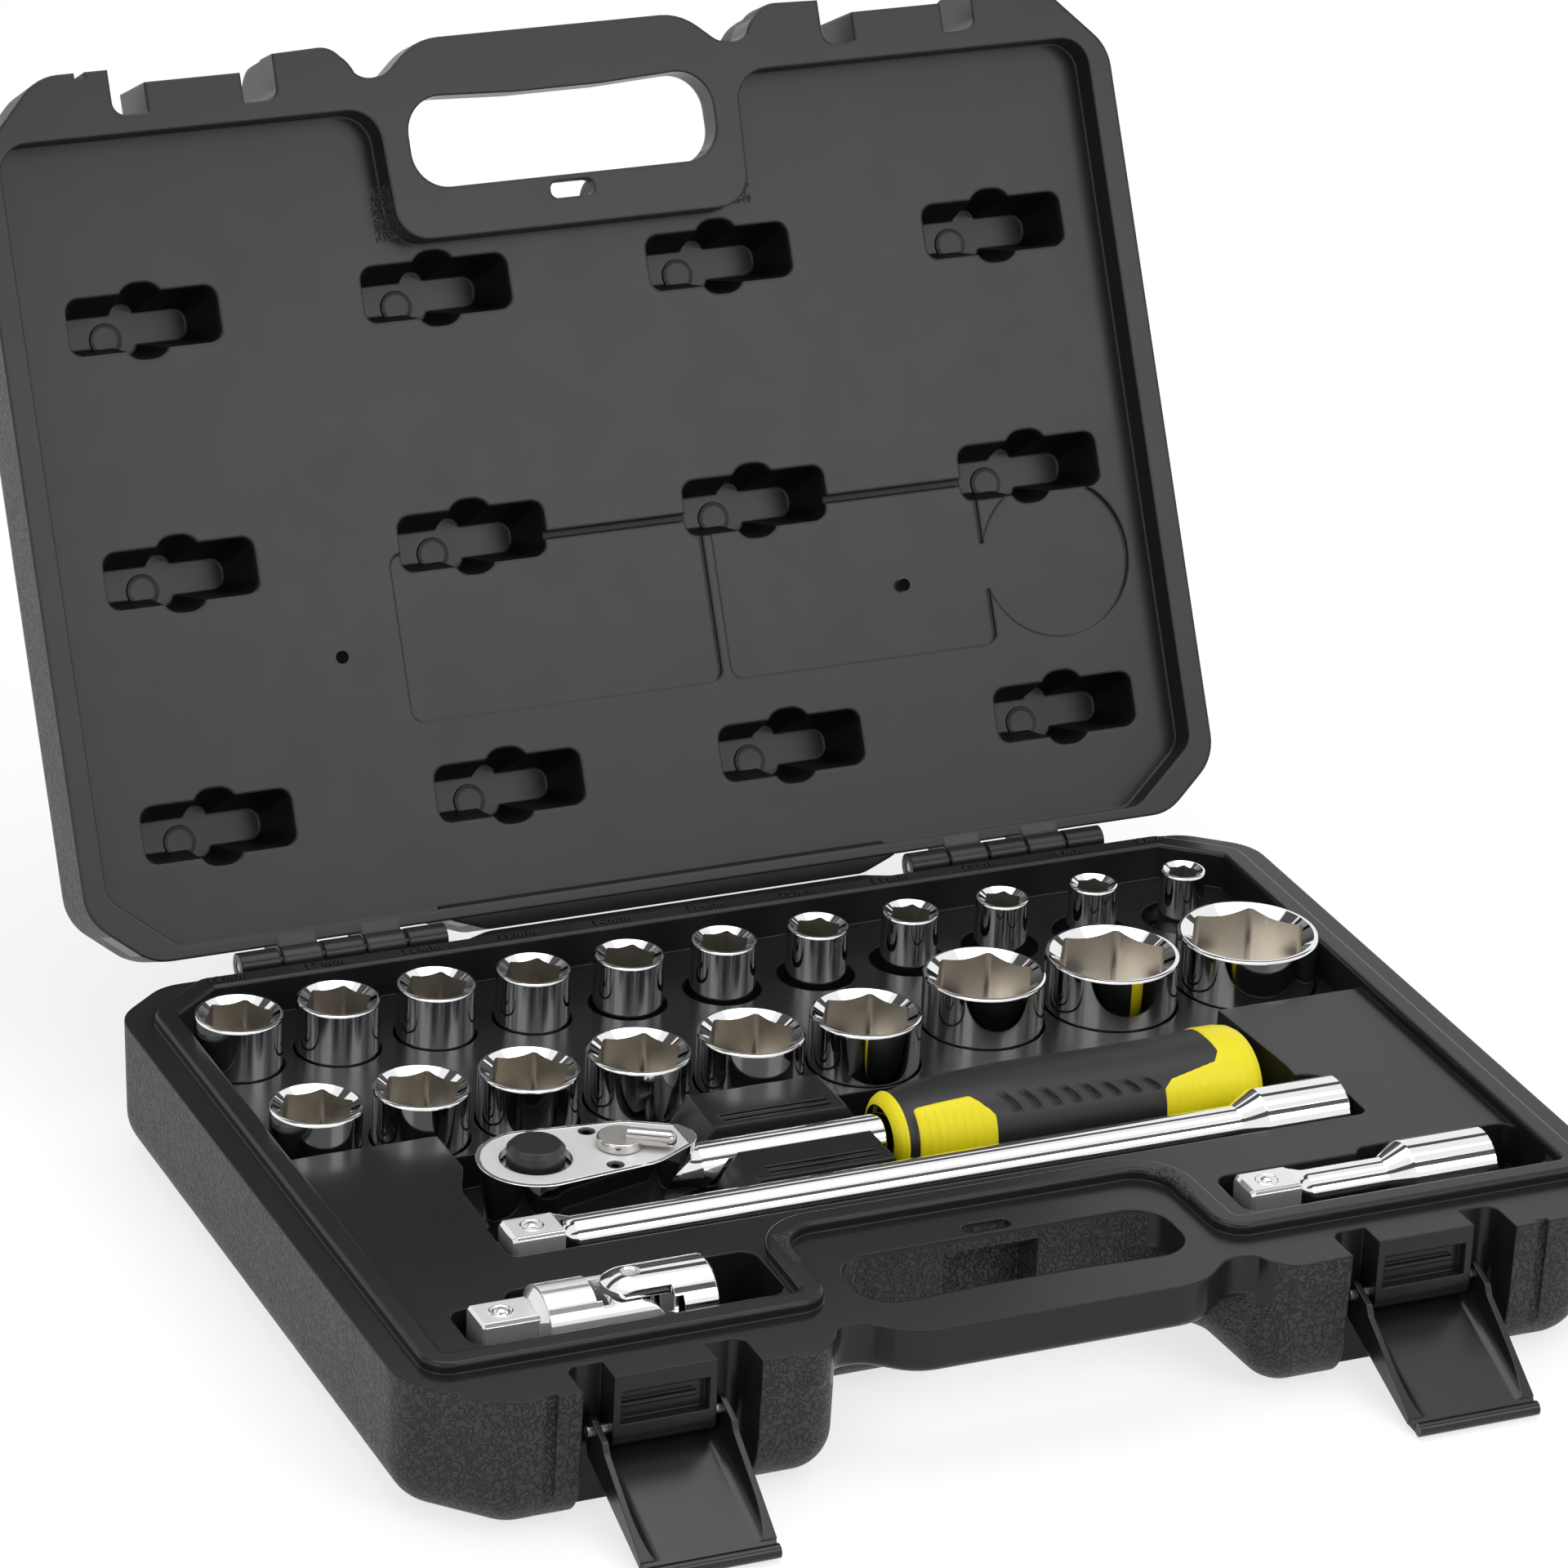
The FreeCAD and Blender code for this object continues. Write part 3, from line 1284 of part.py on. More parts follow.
def make_selector_lever():
    """Reversing lever: round cap, thumb piece and the shaft down to the pawl."""
    low = rim_z + head_top + plate_thick + 0.3
    y = at(ratchet_reach)
    cap = post(lever_radius, lever_x, ratchet_reach, low, low + lever_thick)
    cap = cap.makeFillet(0.8, edges_where(cap, lambda box: box.ZMin > low + lever_thick - 0.01))
    rod_z = low + lever_rod_radius + 0.2
    thumb = rod(lever_rod_radius, lever_x + 2.0, lever_x + lever_thumb, ratchet_reach, rod_z)
    nose = Part.makeSphere(lever_rod_radius, V(lever_x + lever_thumb, y, rod_z))
    shaft = post(lever_shaft_radius, lever_x, ratchet_reach, gear_base_z() + 1.0, low + 1)
    lever = fused([cap, thumb, nose, shaft])
    lever.rotate(V(lever_x, y, 0), Z_AXIS, -lever_turn)
    return lever


def make_release_button():
    """Quick-release button with its plunger down the gear's bore."""
    top = rim_z + head_top + plate_thick
    cap_low = top - button_skirt
    cap_top = top + button_height
    cap = post(button_radius, gear_x, ratchet_reach, cap_low, cap_top)
    cap = cap.makeChamfer(1.3, edges_where(cap, lambda box: box.ZMin > cap_top - 0.01))
    bottom = rim_z + head_bottom
    stem = post(plunger_radius, gear_x, ratchet_reach, bottom - 9.0, cap_low + 1)
    return fused([cap, stem])


def make_release_spring():
    """Coil under the button, shown as its closed sleeve."""
    top = rim_z + head_top + plate_thick
    low = top - 6.2
    high = top - button_skirt - 0.3
    outer = post(button_radius - 3.6, gear_x, ratchet_reach, low, high)
    inner = post(plunger_radius + 0.4, gear_x, ratchet_reach, low - 1, high + 1)
    return outer.cut(inner)


def make_release_ball():
    z = rim_z + head_bottom - 8.0
    x = gear_x - square_size / 2 + detent_radius - 0.9
    return Part.makeSphere(detent_radius, V(x, at(ratchet_reach), z))


def make_pawl_spring():
    low = gear_base_z() + 0.3
    x0 = lever_x - 3.2 - 4.3
    return Part.makeCylinder(1.3, 4.4, V(x0, at(ratchet_reach), low + gear_thick / 2), X_AXIS)


def oval_section(x, wide, high, reach, z):
    """Elliptical wire across the X axis."""
    centre = V(x, at(reach), z)
    if wide >= high:
        curve = Part.Ellipse(centre + V(0, wide, 0), centre + V(0, 0, high), centre)
    else:
        curve = Part.Ellipse(centre + V(0, 0, high), centre + V(0, wide, 0), centre)
    return Part.Wire([curve.toShape()])


def grip_solid():
    """The whole two-colour grip, swelling from its collar to its end."""
    z = rim_z - ratchet_drop
    stations = [
        (grip_start, 0.72),
        (grip_start + 3, 0.80),
        (grip_start + 12, 0.88),
        (grip_start + 40, 0.97),
        (grip_end - 40, 0.93),
        (grip_end - 16, 1.0),
        (grip_end - 4, 0.92),
        (grip_end, 0.70),
    ]
    wires = [oval_section(x, grip_half_wide * k, grip_half_high * k, ratchet_reach, z) for x, k in stations]
    return Part.makeLoft(wires, True, False)


def grip_yellow_zone():
    """Where the second, brighter moulding shows: collar, front pad and end."""
    high = rim_z + grip_half_high
    collar = block(grip_start - 1, grip_start + 10.5, 0, front_reach, 0, high)
    front = at(ratchet_reach + grip_half_wide + 1)
    pad = [
        (grip_start + 14.0, front, 0),
        (grip_start + 14.0, at(ratchet_reach + 3.0), 2.5),
        (grip_start + 33.0, at(ratchet_reach + 3.0), 3.0),
        (grip_start + 38.5, at(ratchet_reach + 8.0), 3.0),
        (grip_start + 38.5, front, 0),
    ]
    end = [
        (grip_end - 28.5, front, 0),
        (grip_end - 28.5, at(ratchet_reach + 6.0), 3.0),
        (grip_end - 16.0, at(ratchet_reach + 5.0), 8.0),
        (grip_end - 14.0, at(ratchet_reach - 4.0), 8.0),
        (grip_end - 17.0, at(ratchet_reach - grip_half_wide - 1), 0),
        (grip_end + 1.0, at(ratchet_reach - grip_half_wide - 1), 0),
        (grip_end + 1.0, front, 0),
    ]
    return fused([collar, prism(pad, 0, high), prism(end, 0, high)])


def make_grips():
    """The dark and the bright part of the grip, moulded round the shank."""
    whole = grip_solid()
    tang_radius = shank_radius - 1.5 + running_fit
    bore = rod(tang_radius, grip_start - 5, shank_tang + 0.1, ratchet_reach, rim_z - ratchet_drop)
    collar_radius = shank_radius + running_fit
    collar_bore = rod(collar_radius, grip_start - 5, shank_end + 0.1, ratchet_reach, rim_z - ratchet_drop)
    whole = whole.cut(bore).cut(collar_bore)
    zone = grip_yellow_zone()
    return whole.cut(zone), whole.common(zone)


# ---------------------------------------------------------------- export
def main():
    os.makedirs("parts", exist_ok=True)
    save("base_shell", make_base_shell())
    save("lid_shell", opened(make_lid_shut()))
    for name, side in (("left", -1), ("right", 1)):
        save("hinge_pin_" + name, make_hinge_pin(side))
        save("latch_" + name, make_latch(side))
        save("latch_pin_" + name, make_latch_pin(side))
    for size, body in placed_sockets():
        save("socket_%02dmm" % size, body)
    bar_z = rim_z - bar_drop
    save("extension_long", make_bar(long_bar_left, long_bar_length, long_bar_reach))
    save("extension_long_ball", make_detent_ball(long_bar_left + 7.5, long_bar_reach, bar_z))
    save("extension_short", make_bar(short_bar_left, short_bar_length, front_tools_reach))
    save("extension_short_ball", make_detent_ball(short_bar_left + 7.5, front_tools_reach, bar_z))
    save("joint_drive_fork", make_joint_drive())
    save("joint_socket_fork", make_joint_socket())
    save("joint_cross", make_joint_cross())
    save("joint_ball", make_detent_ball(joint_left + 7.5, front_tools_reach, bar_z))
    save("ratchet_body", make_ratchet_body())
    save("ratchet_cover_plate", make_cover_plate())
    save("ratchet_plate_screws", make_plate_screws())
    save("ratchet_drive_gear", make_drive_gear())
    save("ratchet_pawl", make_pawl())
    save("ratchet_pawl_spring", make_pawl_spring())
    save("ratchet_selector_lever", make_selector_lever())
    save("ratchet_release_button", make_release_button())
    save("ratchet_release_spring", make_release_spring())
    save("ratchet_release_ball", make_release_ball())
    dark, bright = make_grips()
    save("ratchet_grip", dark)
    save("ratchet_grip_inlay", bright)


main()
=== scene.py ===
# %% [markdown]
# # A socket set in its carrying case
#
# The real object is a blow-moulded case that lies open, with twenty chromed sockets, a ratchet,
# two extension bars and a universal joint pressed into its tray.  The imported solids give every
# place and size.  Blender adds what solids lack: rounded edges, polish, moulded grain and the
# small forms that catch the light.

# %% Load the frame and keep its box
import json
import math

import bpy
from mathutils import Matrix, Vector

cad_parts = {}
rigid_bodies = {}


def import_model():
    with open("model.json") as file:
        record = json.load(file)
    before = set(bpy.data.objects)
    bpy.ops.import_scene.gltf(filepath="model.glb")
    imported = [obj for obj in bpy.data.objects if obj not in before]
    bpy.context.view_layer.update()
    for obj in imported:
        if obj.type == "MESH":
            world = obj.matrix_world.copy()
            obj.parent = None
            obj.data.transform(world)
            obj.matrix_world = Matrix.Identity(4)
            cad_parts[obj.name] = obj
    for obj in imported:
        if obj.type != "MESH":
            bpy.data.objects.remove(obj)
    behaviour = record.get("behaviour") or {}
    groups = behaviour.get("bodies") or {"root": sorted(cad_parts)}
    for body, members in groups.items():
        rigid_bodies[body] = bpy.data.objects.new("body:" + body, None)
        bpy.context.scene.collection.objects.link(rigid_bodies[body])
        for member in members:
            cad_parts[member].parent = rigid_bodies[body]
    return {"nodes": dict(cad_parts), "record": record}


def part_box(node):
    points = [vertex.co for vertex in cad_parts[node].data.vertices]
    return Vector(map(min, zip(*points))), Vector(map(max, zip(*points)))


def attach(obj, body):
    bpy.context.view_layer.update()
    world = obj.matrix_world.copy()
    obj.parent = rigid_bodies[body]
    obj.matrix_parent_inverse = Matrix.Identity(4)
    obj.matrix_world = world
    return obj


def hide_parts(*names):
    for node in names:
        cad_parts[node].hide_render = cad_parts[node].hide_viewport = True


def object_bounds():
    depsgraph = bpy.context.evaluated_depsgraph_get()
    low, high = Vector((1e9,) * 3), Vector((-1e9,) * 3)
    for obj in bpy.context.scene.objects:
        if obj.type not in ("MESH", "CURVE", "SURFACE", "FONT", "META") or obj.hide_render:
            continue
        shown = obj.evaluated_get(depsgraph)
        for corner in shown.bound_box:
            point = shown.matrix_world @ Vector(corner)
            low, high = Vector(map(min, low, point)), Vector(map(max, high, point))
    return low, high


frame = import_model()
nodes = frame["nodes"]
cad_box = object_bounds()
MM = 0.001

# %% [markdown]
# ## Sizes that the pieces share
#
# The lid turns on one axis, and the base's rim lies in one plane.  Both are read from the
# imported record, so that a piece is placed from the same numbers as the joint it rides on.
# The depths of the two halves and the drive square serve several pieces, so they come first.

# %% Shared places
joints = {joint["name"]: joint for joint in frame["record"]["behaviour"]["joints"]}
hinge_place = Vector(joints["lid_hinge"]["pos_m"])
lid_angle = math.radians(abs(joints["lid_hinge"]["range_deg"][0]))
rim_z = hinge_place.z
hinge_y = hinge_place.y
BASE_DEPTH = 41.5  # mm from the rim of each half to its outside
LID_DEPTH = 35.0
SQUARE = 12.7  # mm across the drive squares, and across the holes that take them
SQUARE_HOLE = 12.85
print("hinge axis at", [round(v, 4) for v in hinge_place])
print("lid leans", round(math.degrees(lid_angle), 1))

# %% [markdown]
# ## Helpers for making meshes
#
# Almost every tool here is a turned or drawn bar, so its skin is a stack of closed rings.
# One helper joins such rings with four-sided faces.  Rings may change from a square to a
# circle on the way, as the drive ends of the tools do, as long as each has as many points.


# %% Skin through rings
def finish_mesh(name, verts, faces, material, angle=35.0):
    """One object from points and faces, smooth apart from its sharp edges."""
    mesh = bpy.data.meshes.new(name)
    mesh.from_pydata(verts, [], faces)
    mesh.validate()
    mesh.shade_smooth()
    mesh.set_sharp_from_angle(angle=math.radians(angle))
    mesh.materials.append(material)
    obj = bpy.data.objects.new(name, mesh)
    bpy.context.scene.collection.objects.link(obj)
    return obj


def skin(name, rings, material, cap_start=False, cap_end=False, loop=False, angle=35.0):
    """Closed rings of equal length joined into one surface."""
    count = len(rings[0])
    verts = [tuple(p) for ring in rings for p in ring]
    faces = []
    last = len(rings) if loop else len(rings) - 1
    for i in range(last):
        a = i * count
        b = ((i + 1) % len(rings)) * count
        for j in range(count):
            k = (j + 1) % count
            faces.append((a + j, a + k, b + k, b + j))
    if cap_start:
        faces.append(tuple(reversed(range(count))))
    if cap_end:
        faces.append(tuple(range(a + count, a + 2 * count)))
    return finish_mesh(name, verts, faces, material, angle)


print("mesh helpers ready")

# %% [markdown]
# ## Effects shared by several finishes
#
# Moulded plastic carries a spark-eroded grain outside, and everything that is handled has a
# slightly uneven gloss.  Each effect is one node group with named inputs, so that a finish
# only states its own values.


# %% Node group helpers
def new_group(name, inputs, outputs):
    tree = bpy.data.node_groups.new(name, "ShaderNodeTree")
    for label, kind, value in inputs:
        item = tree.interface.new_socket(label, in_out="INPUT", socket_type=kind)
        if value is not None:
            item.default_value = value
    for label, kind in outputs:
        tree.interface.new_socket(label, in_out="OUTPUT", socket_type=kind)
    start = tree.nodes.new("NodeGroupInput")
    end = tree.nodes.new("NodeGroupOutput")
    return tree, start, end


def feed(tree, value, socket):
    """Links an output to a socket, or sets a plain value on it."""
    if hasattr(value, "is_output"):
        tree.links.new(value, socket)
    else:
        socket.default_value = value


def math_node(tree, operation, a, b=None, clamp=False):
    node = tree.nodes.new("ShaderNodeMath")
    node.operation = operation
    node.use_clamp = clamp
    feed(tree, a, node.inputs[0])
    if b is not None:
        feed(tree, b, node.inputs[1])
    return node.outputs[0]


def vector_node(tree, operation, a, b=None):
    node = tree.nodes.new("ShaderNodeVectorMath")
    node.operation = operation
    feed(tree, a, node.inputs[0])
    if b is not None:
        feed(tree, b, node.inputs[1])
    return node.outputs[0]


def ramp_node(tree, value, low, high):
    """A smooth step from nought at low to one at high."""
    node = tree.nodes.new("ShaderNodeMapRange")
    node.interpolation_type = "SMOOTHSTEP"
    feed(tree, value, node.inputs["Value"])
    feed(tree, low, node.inputs["From Min"])
    feed(tree, high, node.inputs["From Max"])
    return node.outputs["Result"]


print("node helpers ready")


# %% Grain, gloss and box groups
def make_grain_group():
    """Flat-topped, worm-like pebbles of an etched mould; Cell is their spacing in mm."""
    inputs = [("Vector", "NodeSocketVector", None), ("Cell", "NodeSocketFloat", 1.0)]
    tree, start, end = new_group("moulded grain", inputs, [("Height", "NodeSocketFloat")])
    noise = tree.nodes.new("ShaderNodeTexNoise")
    noise.inputs["Detail"].default_value = 1.0
    noise.inputs["Roughness"].default_value = 0.4
    noise.inputs["Distortion"].default_value = 0.5
    tree.links.new(start.outputs["Vector"], noise.inputs["Vector"])
    scale = math_node(tree, "DIVIDE", 1000.0, start.outputs["Cell"])
    tree.links.new(scale, noise.inputs["Scale"])
    away = math_node(tree, "ABSOLUTE", math_node(tree, "SUBTRACT", noise.outputs["Fac"], 0.5))
    tree.links.new(ramp_node(tree, away, 0.006, 0.095), end.inputs["Height"])
    return tree


def make_gloss_group():
    """Uneven gloss: a base roughness with soft patches, from one noise with fine detail."""
    inputs = [
        ("Vector", "NodeSocketVector", None),
        ("Roughness", "NodeSocketFloat", 0.4),
        ("Spread", "NodeSocketFloat", 0.1),
        ("Patch", "NodeSocketFloat", 60.0),
    ]
    tree, start, end = new_group("uneven gloss", inputs, [("Roughness", "NodeSocketFloat")])
    noise = tree.nodes.new("ShaderNodeTexNoise")
    noise.inputs["Detail"].default_value = 4.0
    tree.links.new(start.outputs["Patch"], noise.inputs["Scale"])
    tree.links.new(start.outputs["Vector"], noise.inputs["Vector"])
    centred = math_node(tree, "SUBTRACT", noise.outputs["Fac"], 0.5)
    scaled = math_node(tree, "MULTIPLY", centred, start.outputs["Spread"])
    total = math_node(tree, "ADD", scaled, start.outputs["Roughness"], clamp=True)
    tree.links.new(total, end.inputs["Roughness"])
    return tree


def make_box_group():
    """One inside a box that lines up with the axes, and nought outside."""
    kinds = [(label, "NodeSocketVector", None) for label in ("Vector", "Low", "High")]
    tree, start, end = new_group("inside box", kinds, [("Mask", "NodeSocketFloat")])
    split = []
    for label in ("Vector", "Low", "High"):
        node = tree.nodes.new("ShaderNodeSeparateXYZ")
        tree.links.new(start.outputs[label], node.inputs[0])
        split.append(node.outputs)
    mask = 1.0
    for axis in range(3):
        above = math_node(tree, "GREATER_THAN", split[0][axis], split[1][axis])
        below = math_node(tree, "LESS_THAN", split[0][axis], split[2][axis])
        mask = math_node(tree, "MULTIPLY", mask, math_node(tree, "MULTIPLY", above, below))
    tree.links.new(mask, end.inputs["Mask"])
    return tree


grain_group = make_grain_group()
gloss_group = make_gloss_group()
box_group = make_box_group()
print("groups:", [g.name for g in (grain_group, gloss_group, box_group)])


# %% Material helpers
def add_group(tree, group, **values):
    node = tree.nodes.new("ShaderNodeGroup")
    node.node_tree = group
    for label, value in values.items():
        feed(tree, value, node.inputs[label])
    return node


def new_material(name, color, roughness, metallic=0.0, spread=0.1, patch=60.0):
    """Principled material whose gloss varies a little over the surface."""
    material = bpy.data.materials.new(name)
    material.use_nodes = True
    tree = material.node_tree
    shader = tree.nodes["Principled BSDF"]
    shader.inputs["Base Color"].default_value = (*color, 1.0)
    shader.inputs["Metallic"].default_value = metallic
    place = tree.nodes.new("ShaderNodeTexCoord").outputs["Object"]
    gloss = add_group(
        tree, gloss_group, Vector=place, Roughness=roughness, Spread=spread, Patch=patch
    )
    tree.links.new(gloss.outputs["Roughness"], shader.inputs["Roughness"])
    return material, tree, shader, place


def add_bevel(tree, radius):
    """Edges are shown rounded, as every moulded or ground edge is."""
    node = tree.nodes.new("ShaderNodeBevel")
    node.samples = 8
    node.inputs["Radius"].default_value = radius
    return node.outputs["Normal"]


def add_bump(tree, shader, height, strength, distance, normal=None):
    node = tree.nodes.new("ShaderNodeBump")
    node.inputs["Strength"].default_value = strength
    node.inputs["Distance"].default_value = distance
    tree.links.new(height, node.inputs["Height"])
    if normal is not None:
        tree.links.new(normal, node.inputs["Normal"])
    tree.links.new(node.outputs["Normal"], shader.inputs["Normal"])


def mix_color(tree, factor, low, high):
    node = tree.nodes.new("ShaderNodeMix")
    node.data_type = "RGBA"
    feed(tree, factor, node.inputs["Factor"])
    node.inputs[6].default_value = (*low, 1.0)
    node.inputs[7].default_value = (*high, 1.0)
    return node.outputs[2]


print("material helpers ready")

# %% [markdown]
# ## The case plastic
#
# Black polypropylene.  The outside of both halves carries a coarse grain, while the rims, the
# grips, the latch bays and the inside come smooth from the mould.  The tops of the grain's
# pebbles are greyer than the hollows between them, which is what the eye reads as texture from
# a distance; this lighter colour is partly wear and partly a painted highlight where they catch
# the light.  The steep walls of the lid's dimples are rougher, as polish never reaches them in
# the mould, and their colour is darkened as painted shade for the shade deep in the dimples.
#
# The smooth places are boxes in the case's own frame: distance from the middle, distance in
# front of the hinge axis, and depth from the rim, all in millimetres.  Turning the lid back to
# its shut place first lets one list of boxes serve both halves.


# %% Smooth places of the case
def smooth_boxes(depth):
    """Low and high corners of the smooth places of a case half of this depth."""
    return {
        "recess": ((-1, 7.5, -1), (175.2, 245, 12)),
        "inside": ((-1, 14, -1), (166, 205, depth - 1.2)),
        "inside front": ((66, 204, -1), (166, 240, depth - 1.2)),
        "grip": ((-1, 222.5, -1), (66, 300, 13.8)),
        "latch bay": ((87.4, 249.3, -1), (138.6, 300, 60)),
        "hinges": ((66, -9, -1), (148, 8.6, 9.5)),
    }


GAP_WALL = ((-1, 206, 1.5), (60.5, 222.5, 60))
# Box of the steep walls deep in the lid's dimples: rougher there, and darkened as painted shade.
DIMPLE_WALLS = ((-1, 14, 11.5), (166, 205, 31.0))


def case_frame(tree, vector, lid):
    """Distances in mm from the case's middle, hinge axis and rim, the same for both halves."""
    if lid:
        turn = tree.nodes.new("ShaderNodeVectorRotate")
        turn.rotation_type = "X_AXIS"
        turn.inputs["Center"].default_value = hinge_place
        turn.inputs["Angle"].default_value = lid_angle
        tree.links.new(vector, turn.inputs["Vector"])
        vector = turn.outputs["Vector"]
    moved = vector_node(tree, "SUBTRACT", vector, (0, hinge_y, rim_z))
    side = 1000.0 if lid else -1000.0
    scaled = vector_node(tree, "MULTIPLY", moved, (1000.0, -1000.0, side))
    return vector_node(tree, "ABSOLUTE", scaled)


print("smooth places:", list(smooth_boxes(BASE_DEPTH)))


# %% Case plastic
PLASTIC_BLACK = (0.012, 0.012, 0.0125)
# Colour of the grain's pebble tops: partly wear, partly a painted highlight where the tops catch the
# light.
WORN_AND_LIT_CREST = (0.036, 0.0355, 0.036)
# Painted shade: the near-black colour given to the dimple walls for the shade deep in the dimples.
DIMPLE_PAINTED_SHADE = (0.0025, 0.0025, 0.0025)
GRAIN_CELL = 1.6  # mm between the pebbles
GRAIN_HIGH = 0.35  # mm
GRAIN_ROUGHNESS = 0.45


def smooth_mask(tree, vector, depth):
    """One on the smooth places of a half of this depth, nought where the grain is."""
    mask = 0.0
    for low, high in smooth_boxes(depth).values():
        inside = add_group(tree, box_group, Vector=vector, Low=low, High=high)
        mask = math_node(tree, "MAXIMUM", mask, inside.outputs["Mask"])
    wall = add_group(tree, box_group, Vector=vector, Low=GAP_WALL[0], High=GAP_WALL[1])
    return math_node(tree, "SUBTRACT", mask, wall.outputs["Mask"], clamp=True)


def case_material(name, lid, depth, edge, gloss, shine, rim_play):
    """Plastic of one half: gloss and shine are its smooth places', rim_play its rim's depth."""
    material, tree, shader, place = new_material(name, PLASTIC_BLACK, gloss, spread=0.08)
    shader.inputs["Specular IOR Level"].default_value = shine
    vector = case_frame(tree, place, lid)
    split = tree.nodes.new("ShaderNodeSeparateXYZ")
    tree.links.new(vector, split.inputs[0])
    below_rim = math_node(tree, "GREATER_THAN", split.outputs[2], rim_play)
    outside = math_node(tree, "SUBTRACT", 1.0, smooth_mask(tree, vector, depth), clamp=True)
    mask = math_node(tree, "MULTIPLY", outside, below_rim)
    grain = add_group(tree, grain_group, Vector=place, Cell=GRAIN_CELL)
    height = math_node(tree, "MULTIPLY", grain.outputs["Height"], mask)
    # The tops of the pebbles are lighter than their hollows: partly wear, partly a painted
    # highlight.
    worn_and_lit_crests = mix_color(tree, height, PLASTIC_BLACK, WORN_AND_LIT_CREST)
    # Deep in the lid's dimples the colour is darkened towards black as painted shade, and the
    # roughness is raised.
    dimple_shade_box = add_group(tree, box_group, Vector=vector, Low=DIMPLE_WALLS[0], High=DIMPLE_WALLS[1])
    dark = math_node(tree, "MULTIPLY", dimple_shade_box.outputs["Mask"], 1.0 if lid else 0.0)
    color = mix_color(tree, dark, (0, 0, 0), DIMPLE_PAINTED_SHADE)
    tree.links.new(worn_and_lit_crests, color.node.inputs[6])
    tree.links.new(color, shader.inputs["Base Color"])
    even = shader.inputs["Roughness"].links[0].from_socket
    rough = math_node(tree, "MAXIMUM", mask, dark)
    duller = math_node(tree, "MULTIPLY", rough, GRAIN_ROUGHNESS - gloss)
    tree.links.new(math_node(tree, "ADD", even, duller), shader.inputs["Roughness"])
    add_bump(tree, shader, height, 1.0, GRAIN_HIGH * MM, add_bevel(tree, edge))
    return material


base_plastic = case_material(
    "case_plastic_base", False, BASE_DEPTH, edge=0.8 * MM, gloss=0.25, shine=0.28, rim_play=0.25
)
lid_plastic = case_material(
    "case_plastic_lid", True, LID_DEPTH, edge=1.2 * MM, gloss=0.31, shine=0.35, rim_play=0.6
)
print("case plastics ready")

# %% [markdown]
# ## Metals, latch plastic and grip rubber
#
# The tools are nickel-chrome plated and mirror bright.  The hexagons are left unpolished and
# look warm and dull.  The ratchet's cover plate is satin, the works are plain ground steel.
# A satin face with a polished side, as on the lever, is one material: its roughness follows
# which way the surface faces.


# %% Metals
CHROME = (0.84, 0.84, 0.85)


def add_edge(tree, shader, radius):
    """A rounded edge for a finish that has no grain of its own."""
    tree.links.new(add_bevel(tree, radius), shader.inputs["Normal"])


def satin_top_material(name, color, satin, polished, metallic):
    """Satin where the face looks straight up, polished on its sides and edges."""
    material, tree, shader = new_material(name, color, satin, metallic, 0.05, 200.0)[:3]
    split = tree.nodes.new("ShaderNodeSeparateXYZ")
    normal = tree.nodes.new("ShaderNodeTexCoord").outputs["Normal"]
    tree.links.new(normal, split.inputs[0])
    upward = ramp_node(tree, split.outputs[2], 0.985, 0.997)
    gloss = shader.inputs["Roughness"].links[0].from_socket
    kept = math_node(tree, "MULTIPLY", upward, gloss)
    side = math_node(tree, "MULTIPLY", math_node(tree, "SUBTRACT", 1.0, upward), polished)
    tree.links.new(math_node(tree, "ADD", kept, side), shader.inputs["Roughness"])
    add_edge(tree, shader, 0.35 * MM)
    return material


chrome = new_material("plated_chrome", CHROME, 0.05, 1.0, 0.03, 90.0)[0]
chrome_cad, tree, shader = new_material("plated_chrome_eased", CHROME, 0.055, 1.0, 0.03, 90.0)[:3]
add_edge(tree, shader, 0.5 * MM)
unpolished = new_material("socket_inside", (0.72, 0.69, 0.64), 0.25, 1.0, 0.10, 300.0)[0]
satin_plate = satin_top_material("satin_plate", (0.80, 0.80, 0.805), 0.50, 0.08, 0.62)
satin_drive = satin_top_material("satin_drive_square", (0.82, 0.82, 0.825), 0.45, 0.06, 0.7)
lever_metal = satin_top_material("selector_lever", (0.50, 0.48, 0.46), 0.42, 0.06, 0.85)
works_steel = new_material("ground_steel", (0.48, 0.48, 0.49), 0.35, 1.0, 0.1, 200.0)[0]
screw_black = new_material("screw_black", (0.05, 0.05, 0.052), 0.32, 1.0, 0.1, 300.0)[0]
print("metals ready")


# %% Plastics and rubber
latch_plastic, tree, shader = new_material(
    "latch_gloss_plastic", (0.010, 0.010, 0.0105), 0.24, 0.0, 0.06, 80.0
)[:3]
shader.inputs["Specular IOR Level"].default_value = 0.4
add_edge(tree, shader, 0.5 * MM)
button_plastic, tree, shader = new_material(
    "button_plastic", (0.016, 0.016, 0.016), 0.30, 0.0, 0.06, 200.0
)[:3]
add_edge(tree, shader, 0.4 * MM)


def soft_material(name, color, roughness, specular):
    """Rubber with a grain too fine to see as pebbles, which only softens its shine."""
    material, tree, shader, place = new_material(name, color, roughness, 0.0, 0.08, 150.0)
    shader.inputs["Specular IOR Level"].default_value = specular
    grain = add_group(tree, grain_group, Vector=place, Cell=0.4)
    add_bump(tree, shader, grain.outputs["Height"], 0.2, 0.03 * MM)
    return material


grip_black = soft_material("grip_body_rubber", (0.016, 0.0155, 0.016), 0.42, 0.35)
grip_yellow = soft_material("grip_bright_rubber", (0.80, 0.69, 0.010), 0.42, 0.3)
print("plastics ready")

